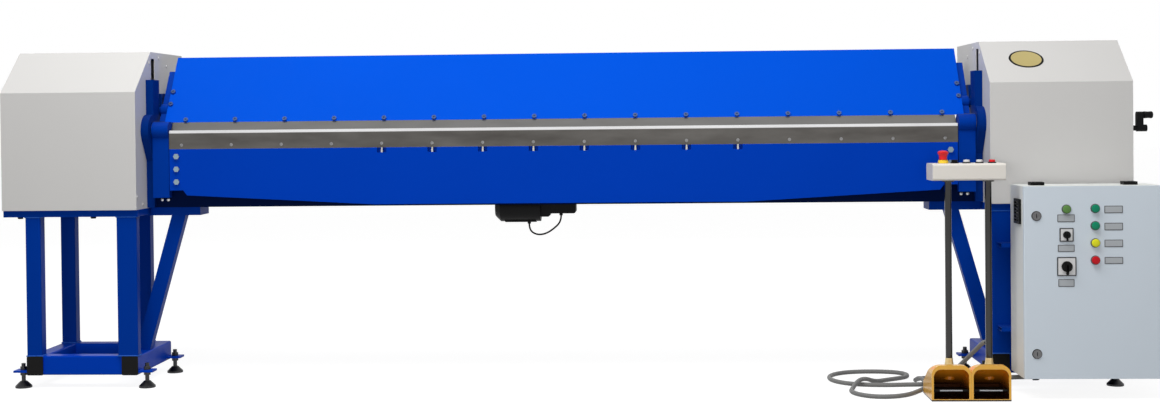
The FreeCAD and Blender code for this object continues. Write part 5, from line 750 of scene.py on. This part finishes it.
def lens_shape(x, z):
    """A lens profile: straight skirt, then a low dome whose rise is a quarter circle squashed to 3 mm."""
    sweep = np.linspace(0, math.pi / 2, 9)[:-1]
    dome = np.stack([LENS_RADIUS * np.cos(sweep), LENS_STAND + LENS_DOME * np.sin(sweep)], axis=-1)
    profile = np.concatenate([[[LENS_RADIUS, 5.0]], dome, [[0.3, LENS_STAND + LENS_DOME]]])
    return turned(profile, (x, DOOR_FACE, z), AXES["y"], 40)


def bezel_shape(x, z):
    """A ring's profile turned about the lamp: outer wall, rounded shoulder, and a step down to the lens."""
    return turned(BEZEL_PROFILE, (x, DOOR_FACE, z), AXES["y"], 48)


for lamp_name, (x, z, colour) in LAMPS.items():
    lens = f"{lamp_name}_lens"
    moulded(lens, colour, 0.2, LENS_SHINE, Gloss=0.3, Grain=0.0, Handled=0.0)
    make_piece(lens, "cabinet_door", lens, [lens_shape(x, z)])
make_piece("lamp_bezels", "cabinet_door", "label_rim", [bezel_shape(x, z) for x, z, _ in LAMPS.values()])

LABELS = [(1861, 662, 62, 28), (1861, 553, 60, 26), (1861, 427, 58, 28),
          (2031, 693, 66, 27), (2031, 631, 66, 27), (2031, 570, 66, 27), (2031, 508, 66, 25)]
LABEL_RIM = 5.5
FIELD_FACE = DOOR_FACE - 1.05
make_piece("label_rims", "cabinet_door", "label_rim",
           [slab((wide, tall), 2.0, 1.1, (x, DOOR_FACE, z), edge=0.3) for x, z, wide, tall in LABELS])
make_piece("label_fields", "cabinet_door", "label_plastic",
           [slab((wide - LABEL_RIM, tall - LABEL_RIM), 1.0, 0.5, (x, FIELD_FACE, z), edge=0.2)
            for x, z, wide, tall in LABELS])

# %% [markdown]
# ## Switch faces and knob skirts
#
# Both rotary switches sit on square plates: a dark frame with a pale face inside it. The frame is the
# plain solid's own plate, and the pale face is a thin slab on it. A ribbed skirt round each knob gives
# fingers a grip, and its radius swells with the cosine of 24 turns. A lever across the skirt points to
# the switch's setting.

# %% Switch faces, knob skirts and levers
# Each switch has its height on the door, the side of its plate and the radius of its knob.
SWITCHES = {"selector_knob": (602, 50.0, 13.0), "main_switch_knob": (487, 69.0, 19.0)}
SWITCH_LINE = 1862.0
PLATE_FACE = DOOR_FACE - 4.0
PLATE_FRAME = 8.0
LEVER_FOOT = 7.5
LEVER_THICKNESS = 6.8


def face_shape(z, size):
    """A thin pale plate inside the dark frame of a switch plate."""
    side = size - PLATE_FRAME
    return slab((side, side), 2.0, 0.25, (SWITCH_LINE, PLATE_FACE, z), edge=0.1)


def skirt_shape(z, radius):
    """A knob's skirt: rings of radius plus 0.5 mm times the cosine of 24 angles, drawn in at the rim."""
    heights = np.array([0.4, 0.4, 4.5, 6.6, 7.6, 8.0])
    reach = np.array([radius - 3, radius + 0.4, radius + 0.3, radius - 0.2, radius - 1.4, radius - 3.5])
    angle = ring_angles(96)
    along, first, second = (np.asarray(v, dtype=float) for v in AXES["y"])
    swell = reach[:, None] + 0.5 * np.cos(24 * angle)[None, :]
    circle = np.cos(angle)[:, None] * first + np.sin(angle)[:, None] * second
    centre = np.array([SWITCH_LINE, PLATE_FACE, z])
    return skin(centre + heights[:, None, None] * along + swell[..., None] * circle[None])


def lever_shape(z, size, radius):
    """A rounded bar half a knob's radius wide, from the top of the knob down over its plate."""
    reach = size * 0.43 + radius * 0.5
    middle = z + radius * 0.5 - reach / 2
    centre = (SWITCH_LINE, PLATE_FACE - LEVER_FOOT, middle)
    return slab((radius * 0.5, reach), radius * 0.24, LEVER_THICKNESS, centre, edge=2.0)


make_piece("switch_faces", "cabinet_door", "white_plastic",
           [face_shape(z, size) for z, size, _ in SWITCHES.values()])
for knob_body, (z, size, radius) in SWITCHES.items():
    make_piece(f"{knob_body}_skirt", knob_body, "black_plastic",
               [skirt_shape(z, radius), lever_shape(z, size, radius)])

# %% [markdown]
# ## Lock rims
#
# Each door lock is a round steel head with a key slot. A black seal lies round the head on the door, and
# a thin raised ring on the head frames the slot. Both are profiles turned about the lock's own axis.

# %% Lock rims
LOCKS = {"upper_door_lock": 671.0, "lower_door_lock": 169.0}
LOCK_PLACE = 1755.0
SEAL_PROFILE = [(15.6, 0.1), (18.0, 0.1), (18.0, 1.2), (17.4, 2.4), (16.4, 2.8), (15.6, 2.6), (15.6, 0.1)]
RING_PROFILE = [(8.2, 3.9), (12.2, 3.9), (12.2, 4.5), (11.7, 4.9), (8.7, 4.9), (8.2, 4.5), (8.2, 3.9)]


def lock_shape(profile, z):
    """A profile turned about a lock's axis."""
    return turned(profile, (LOCK_PLACE, DOOR_FACE, z), AXES["y"], 40)


make_piece("lock_seals", "cabinet_door", "black_plastic",
           [lock_shape(SEAL_PROFILE, z) for z in LOCKS.values()])
for lock_body, z in LOCKS.items():
    make_piece(f"{lock_body}_ring", lock_body, "lock_steel", [lock_shape(RING_PROFILE, z)])

# %% [markdown]
# ## A blank badge on the right housing
#
# An oval brass badge lies on the sloping face. It is a turned profile squashed into an ellipse and laid
# on the slope, with a dark raised rim and a plain field.

# %% Badge
HOUSING_FRONT = -123.0
SLOPE_FOOT = 1163.0
SLOPE_DEPTH = 188.0
SLOPE_RISE = 164.0
SLOPE_TILT = math.atan2(SLOPE_DEPTH, SLOPE_RISE)
BADGE_SIZE = (132, 104)
BADGE_RISE = 91.0
BADGE_TURN = math.radians(3.0)
BADGE_DEPTH = SLOPE_DEPTH * BADGE_RISE / SLOPE_RISE
BADGE_CENTRE = np.array([1813.0, HOUSING_FRONT + BADGE_DEPTH, SLOPE_FOOT + BADGE_RISE])
RIM_PROFILE = [(1.0, 0.1), (1.0, 1.2), (0.98, 1.6), (0.86, 1.6)]
FIELD_PROFILE = [(0.88, 1.5), (0.88, 1.9), (0.86, 2.1), (0.80, 2.3), (0.5, 2.7), (0.1, 2.9)]


def badge_axes():
    """The slope's outward normal, and two directions in the slope turned a little about it."""
    across = np.array([1.0, 0.0, 0.0])
    upslope = np.array([0.0, math.sin(SLOPE_TILT), math.cos(SLOPE_TILT)])
    normal = np.array([0.0, -math.cos(SLOPE_TILT), math.sin(SLOPE_TILT)])
    first = math.cos(BADGE_TURN) * across - math.sin(BADGE_TURN) * upslope
    second = math.sin(BADGE_TURN) * across + math.cos(BADGE_TURN) * upslope
    return normal, first, second


def badge_shape(profile):
    """A profile of (share of radius, height) turned in the slope's plane and stretched to an ellipse."""
    wide, tall = BADGE_SIZE
    normal, first, second = badge_axes()
    return turned(profile, BADGE_CENTRE, (normal, first * wide / 2, second * tall / 2), 72)


make_piece("badge_rim", "machine", "drive_black", [badge_shape(RIM_PROFILE)])
make_piece("badge_field", "machine", "badge_brass", [badge_shape(FIELD_PROFILE)])

# %% [markdown]
# ## Caps of the pendant's push buttons
#
# Each button on the pendant is a turned cap with a soft edge. The stop button is a mushroom with a
# broad rounded head over a yellow collar. The caps and the head replace the plain cylinders and ride on
# the buttons' own bodies. The collar is fixed to the box.

# %% Button caps
BOX_TOP = 862.0
BUTTON_LINE = -285.0
BUTTONS = {"black_button": (1482, "black_plastic"), "left_white_button": (1526, "white_plastic"),
           "right_white_button": (1573, "white_plastic"), "red_button": (1619, "red_plastic")}
CAP_FOOT = BOX_TOP + 4.3
CAP_TOP = BOX_TOP + 13.0
CAP_RADIUS = 11.5
CAP_EDGE = 2.5
CAP_STEM = 6.0
STOP_X = 1440.0
CROWN_RADIUS = 19.9
CROWN_FOOT = 902.0
CROWN_HEIGHT = 8.0
NECK_PROFILE = [(6, 845), (6, 867.4), (14.4, 867.4), (14.4, 884), (15.2, 890), (17.6, 896), (19.6, 899.5)]
COLLAR_PROFILE = [(15.0, 862.2), (18.6, 862.2), (18.6, 870), (18.2, 873.4), (17.2, 875.4), (15.0, 875.4),
                  (15.0, 862.2)]


def upright_shape(profile, x, sides):
    """A profile turned about an upright axis in the plane of the buttons and posts."""
    return turned(profile, (x, BUTTON_LINE, 0), AXES["z"], sides)


def cap_shape(x):
    """A cap's profile: stem below, straight wall, quarter-round edge, very slightly hollow top."""
    bend = np.linspace(0, math.pi / 2, 7)
    wall = CAP_RADIUS - CAP_EDGE
    shoulder = CAP_TOP - CAP_EDGE
    rounded = np.stack([wall + CAP_EDGE * np.cos(bend), shoulder + CAP_EDGE * np.sin(bend)], axis=-1)
    profile = np.concatenate([[(CAP_STEM, CAP_FOOT - 16), (CAP_STEM, CAP_FOOT), (CAP_RADIUS, CAP_FOOT)],
                              rounded, [(CAP_RADIUS * 0.5, CAP_TOP - 0.5), (0.3, CAP_TOP - 0.8)]])
    return upright_shape(profile, x, 40)


def mushroom_shape():
    """The stop head: a wide neck, a flared undercut, and an elliptic crown 20 mm in radius and 8 mm high."""
    bend = np.linspace(0, math.pi / 2, 10)[:-1]
    crown = np.stack([CROWN_RADIUS * np.cos(bend), CROWN_FOOT + CROWN_HEIGHT * np.sin(bend)], axis=-1)
    profile = np.concatenate([NECK_PROFILE, crown, [(0.3, CROWN_FOOT + CROWN_HEIGHT)]])
    return upright_shape(profile, STOP_X, 48)


for button, (x, cap_finish) in BUTTONS.items():
    make_piece(f"{button}_cap", button, cap_finish, [cap_shape(x)], replaced=(button,))
make_piece("stop_mushroom", "estop_button", "red_plastic", [mushroom_shape()], replaced=("estop_button",))
make_piece("stop_collar", "machine", "yellow_plastic", [upright_shape(COLLAR_PROFILE, STOP_X, 48)])

# %% [markdown]
# ## Sleeves at the foot of the pendant posts
#
# Each post stands in a boss behind its pedal. A short cast sleeve closes the joint, wider at the foot
# and drawn in to the tube at the top. It is one profile turned about the post's axis.

# %% Post sleeves
POSTS = (1457.0, 1604.0)
SLEEVE_PROFILE = [(12.7, 112.2), (16.5, 112.2), (16.5, 117), (15.6, 121), (14.4, 127), (13.9, 133),
                  (13.6, 139), (13.1, 141), (12.7, 141)]
make_piece("post_sleeves", "machine", "sleeve_brass",
           [upright_shape(SLEEVE_PROFILE, x, 36) for x in POSTS])

# %% [markdown]
# ## Grip strips on the treadles
#
# A pale strip on the front edge of each treadle is a painted highlight, where that edge catches the
# light. It is a thin plate with rounded corners, and it rides on its own treadle.

# %% Painted highlight strips
TREADLES = {"left_treadle": 1442.5, "right_treadle": 1585.8}
HIGHLIGHT_STRIP_FACE = -393.9
HIGHLIGHT_STRIP_HEIGHT = 38.6
HIGHLIGHT_STRIP_SIZE = (82, 4.4)
for treadle, x in TREADLES.items():
    # Painted highlight: a pale plate where the treadle's front edge catches the light.
    highlight_strip = slab(HIGHLIGHT_STRIP_SIZE, 1.5, 1.2, (x, HIGHLIGHT_STRIP_FACE, HIGHLIGHT_STRIP_HEIGHT), edge=0.4)
    make_piece(f"{treadle}_strip", treadle, "label_plastic", [highlight_strip])

# %% [markdown]
# ## Screw heads under the folding beam
#
# Two small domed screws hold each end of the bed. A dome is a quarter circle turned about the screw's
# axis, over a short straight wall.

# %% Bed screw heads
BED_FACE = 20.0
BED_SCREW_HEIGHT = 734
BED_SCREWS = (-1595, -1570, 1570, 1595)
DOME_RADIUS = 7.0
DOME_FOOT = 0.8
DOME_HEIGHT = 3.0


def dome_shape(x):
    """A screw head's profile turned about its axis: a straight wall, then a dome 3 mm high."""
    bend = np.linspace(0, math.pi / 2, 7)[:-1]
    dome = np.stack([DOME_RADIUS * np.cos(bend), DOME_FOOT + DOME_HEIGHT * np.sin(bend)], axis=-1)
    profile = [(DOME_RADIUS, -0.2), (DOME_RADIUS, DOME_FOOT), *dome, (0.2, DOME_FOOT + DOME_HEIGHT)]
    return turned(profile, (x, BED_FACE, BED_SCREW_HEIGHT), AXES["y"], 24)


make_piece("bed_screw_heads", "machine", "bright_steel", [dome_shape(x) for x in BED_SCREWS])

# %% [markdown]
# ## The crank's grip
#
# The grip is a turned barrel, thickest near its ends and slightly waisted where the fingers lie. Its
# radius is a profile along the axis, and it replaces the plain cylinder.

# %% Crank grip
GRIP_AXIS = (0, 25, 1034)
GRIP_PROFILE = [(5.2, 2269.4), (9.0, 2269.4), (12.0, 2270.6), (13.6, 2273), (13.9, 2277), (13.2, 2283),
                (12.7, 2289), (13.1, 2295), (13.9, 2300), (13.4, 2304), (11.5, 2306.4), (8.0, 2307),
                (0.3, 2307)]
make_piece("crank_grip_barrel", "crank_grip", "drive_black",
           [turned(GRIP_PROFILE, GRIP_AXIS, AXES["x"], 36)], replaced=("crank_grip",))

# %% [markdown]
# ## Fins on the clamping motor
#
# An air-cooled motor carries fins along its barrel. Each is a thin plate that stands on the barrel and
# runs along it. They cover the lower and rear sides, where the barrel is clear of the bed.

# %% Motor fins
FIN_SIZE = (128.0, 2.2)
FIN_HEIGHT = 4.0
FIN_MIDDLE = (-174.0, 235.0, 685.0)
FIN_FOOT = 61.6
FIN_ANGLES = np.linspace(-2.0, 0.9, 23)


def fin_shape(angle):
    """A plate whose foot lies on the barrel at an angle: turned axes point outwards and round the barrel."""
    outward = (0.0, math.cos(angle), math.sin(angle))
    around = (0.0, -math.sin(angle), math.cos(angle))
    axes = (outward, (1.0, 0.0, 0.0), around)
    foot = np.array(FIN_MIDDLE) + FIN_FOOT * np.array(outward)
    return slab(FIN_SIZE, 1.0, FIN_HEIGHT, foot, edge=0.5, axes=axes)


make_piece("motor_fins", "machine", "drive_black", [fin_shape(angle) for angle in FIN_ANGLES])

# %% [markdown]
# ## Weld beads on the stands
#
# The legs are welded to the base tubes and to the top plates. A bead is a thin tube whose radius swells
# once per drop of metal, along each side of a leg's foot and head.

# %% Weld beads
LEGS = [(2041, 2101, -108, -58), (1657, 1737, -108, -68), (2041, 2101, 242, 292), (1722, 1782, 242, 292)]
LEG_ENDS = (128.0, 674.0)
WELD_RADIUS = 2.4
WELD_SWELL = 0.5
WELD_DROP = 5.0


def bead_shape(start, end):
    """A tube along a straight seam whose radius is the bead's plus 0.5 mm times the cosine of its length."""
    length = float(np.linalg.norm(np.subtract(end, start)))
    share = np.linspace(0, 1, int(length / WELD_DROP * 3) + 2)[:, None]
    path = np.asarray(start, dtype=float) * (1 - share) + np.asarray(end, dtype=float) * share
    radius = WELD_RADIUS + WELD_SWELL * np.cos(2 * math.pi * share[:, 0] * length / WELD_DROP)
    return tube(path, radius, 8)


def leg_beads(left, right, front, rear, height):
    """Four seams round a leg at one height."""
    corners = [(left, front), (right, front), (right, rear), (left, rear)]
    return [bead_shape((*corners[i], height), (*corners[(i + 1) % 4], height)) for i in range(4)]


beads = []
for left, right, front, rear in LEGS:
    for height in LEG_ENDS:
        beads += leg_beads(left, right, front, rear, height)
        beads += leg_beads(-right, -left, front, rear, height)
make_piece("weld_beads", "machine", "weld_paint", beads, smooth_angle=60)

# %% [markdown]
# ## Bolts under the top plates
#
# Two black hexagon bolts hold each top plate from below, beside the front legs. A head is a profile
# turned with only six sides, with its lower corners drawn in as on a real bolt.

# %% Top plate bolts
BOLT_PROFILE = [(0.2, 667.6), (9.0, 667.6), (11.4, 668.8), (11.4, 675.2), (0.2, 675.2)]
BOLT_DEPTH = -95
BOLT_LINE = (-1832, -2124, 1832, 2124)
make_piece("top_plate_bolts", "machine", "black_plastic",
           [turned(BOLT_PROFILE, (x, BOLT_DEPTH, 0), AXES["z"], 6) for x in BOLT_LINE])

# %% [markdown]
# ## Floor, backdrop and light
#
# The machine was photographed cut out on white. The floor and the world are white to the camera, to
# glossy rays and through glass, and the lights stay at a plain level so colours render as written.
# A broad overhead light brightens the sloping plates, a lower front one fills the stands, and a rear
# one lights the back.

# %% Stage
FLOOR_GREY = (0.28, 0.28, 0.28, 1.0)
FLOOR_GLOW = 0.89
FLOOR_REACH = 40
WORLD_LEVEL = 0.20


def directly_seen(tree):
    """One for camera, glossy and transmission rays, else nothing: the largest of the three flags."""
    path = add(tree, "ShaderNodeLightPath")
    other = math_node(tree, "MAXIMUM", path.outputs["Is Glossy Ray"], path.outputs["Is Transmission Ray"])
    return math_node(tree, "MAXIMUM", path.outputs["Is Camera Ray"], other)


def white_floor():
    """A pale floor that the camera sees as white except where the object's shadow falls on it."""
    material, tree, shader = new_material("floor white")
    shader.inputs["Base Color"].default_value = FLOOR_GREY
    shader.inputs["Roughness"].default_value = 0.9
    shader.inputs["Specular IOR Level"].default_value = 0.1
    glow = add(tree, "ShaderNodeEmission")
    glow.inputs["Strength"].default_value = FLOOR_GLOW
    total = add(tree, "ShaderNodeAddShader")
    mix = add(tree, "ShaderNodeMixShader")
    tree.links.new(directly_seen(tree), mix.inputs[0])
    tree.links.new(shader.outputs[0], mix.inputs[1])
    tree.links.new(shader.outputs[0], total.inputs[0])
    tree.links.new(glow.outputs[0], total.inputs[1])
    tree.links.new(total.outputs[0], mix.inputs[2])
    tree.links.new(mix.outputs[0], tree.nodes["Material Output"].inputs["Surface"])
    return material


floor_mesh = bpy.data.meshes.new("floor")
floor_corners = [(-1, -1, 0), (1, -1, 0), (1, 1, 0), (-1, 1, 0)]
floor_mesh.from_pydata([(FLOOR_REACH * x, FLOOR_REACH * y, z) for x, y, z in floor_corners], [],
                       [(0, 1, 2, 3)])
floor_mesh.materials.append(white_floor())
floor = into_scene("floor", floor_mesh)


def light_world(level):
    """The world: white where it is seen, and a plain grey level as light."""
    world = bpy.data.worlds.new("studio")
    world.use_nodes = True
    tree = world.node_tree
    background = tree.nodes["Background"]
    strength = math_node(tree, "MULTIPLY_ADD", directly_seen(tree), 1.0 - level, level)
    tree.links.new(strength, background.inputs["Strength"])
    background.inputs["Color"].default_value = (1, 1, 1, 1)
    bpy.context.scene.world = world


def softbox(name, where, aim, size, power):
    """A rectangular area light turned to face a point, kept out of reflections so that paints stay deep."""
    data = bpy.data.lights.new(name, "AREA")
    data.shape = "RECTANGLE"
    data.size, data.size_y = size
    data.energy = power
    facing = (Vector(where) - Vector(aim)).to_track_quat("Z", "Y").to_matrix().to_4x4()
    lamp = into_scene(name, data, Matrix.Translation(where) @ facing)
    lamp.visible_glossy = False


light_world(WORLD_LEVEL)
softbox("overhead", (-0.5, -1.8, 4.4), (0.0, 0.2, 1.1), (5.0, 1.6), 185)
softbox("front", (-0.4, -6.4, 0.9), (0.2, 0.0, 0.6), (4.0, 1.2), 110)
softbox("rear", (0.0, 6.4, 2.2), (0.0, 0.0, 0.8), (5.0, 2.0), 90)
bpy.context.scene.view_settings.view_transform = "Standard"
print("stage is set")
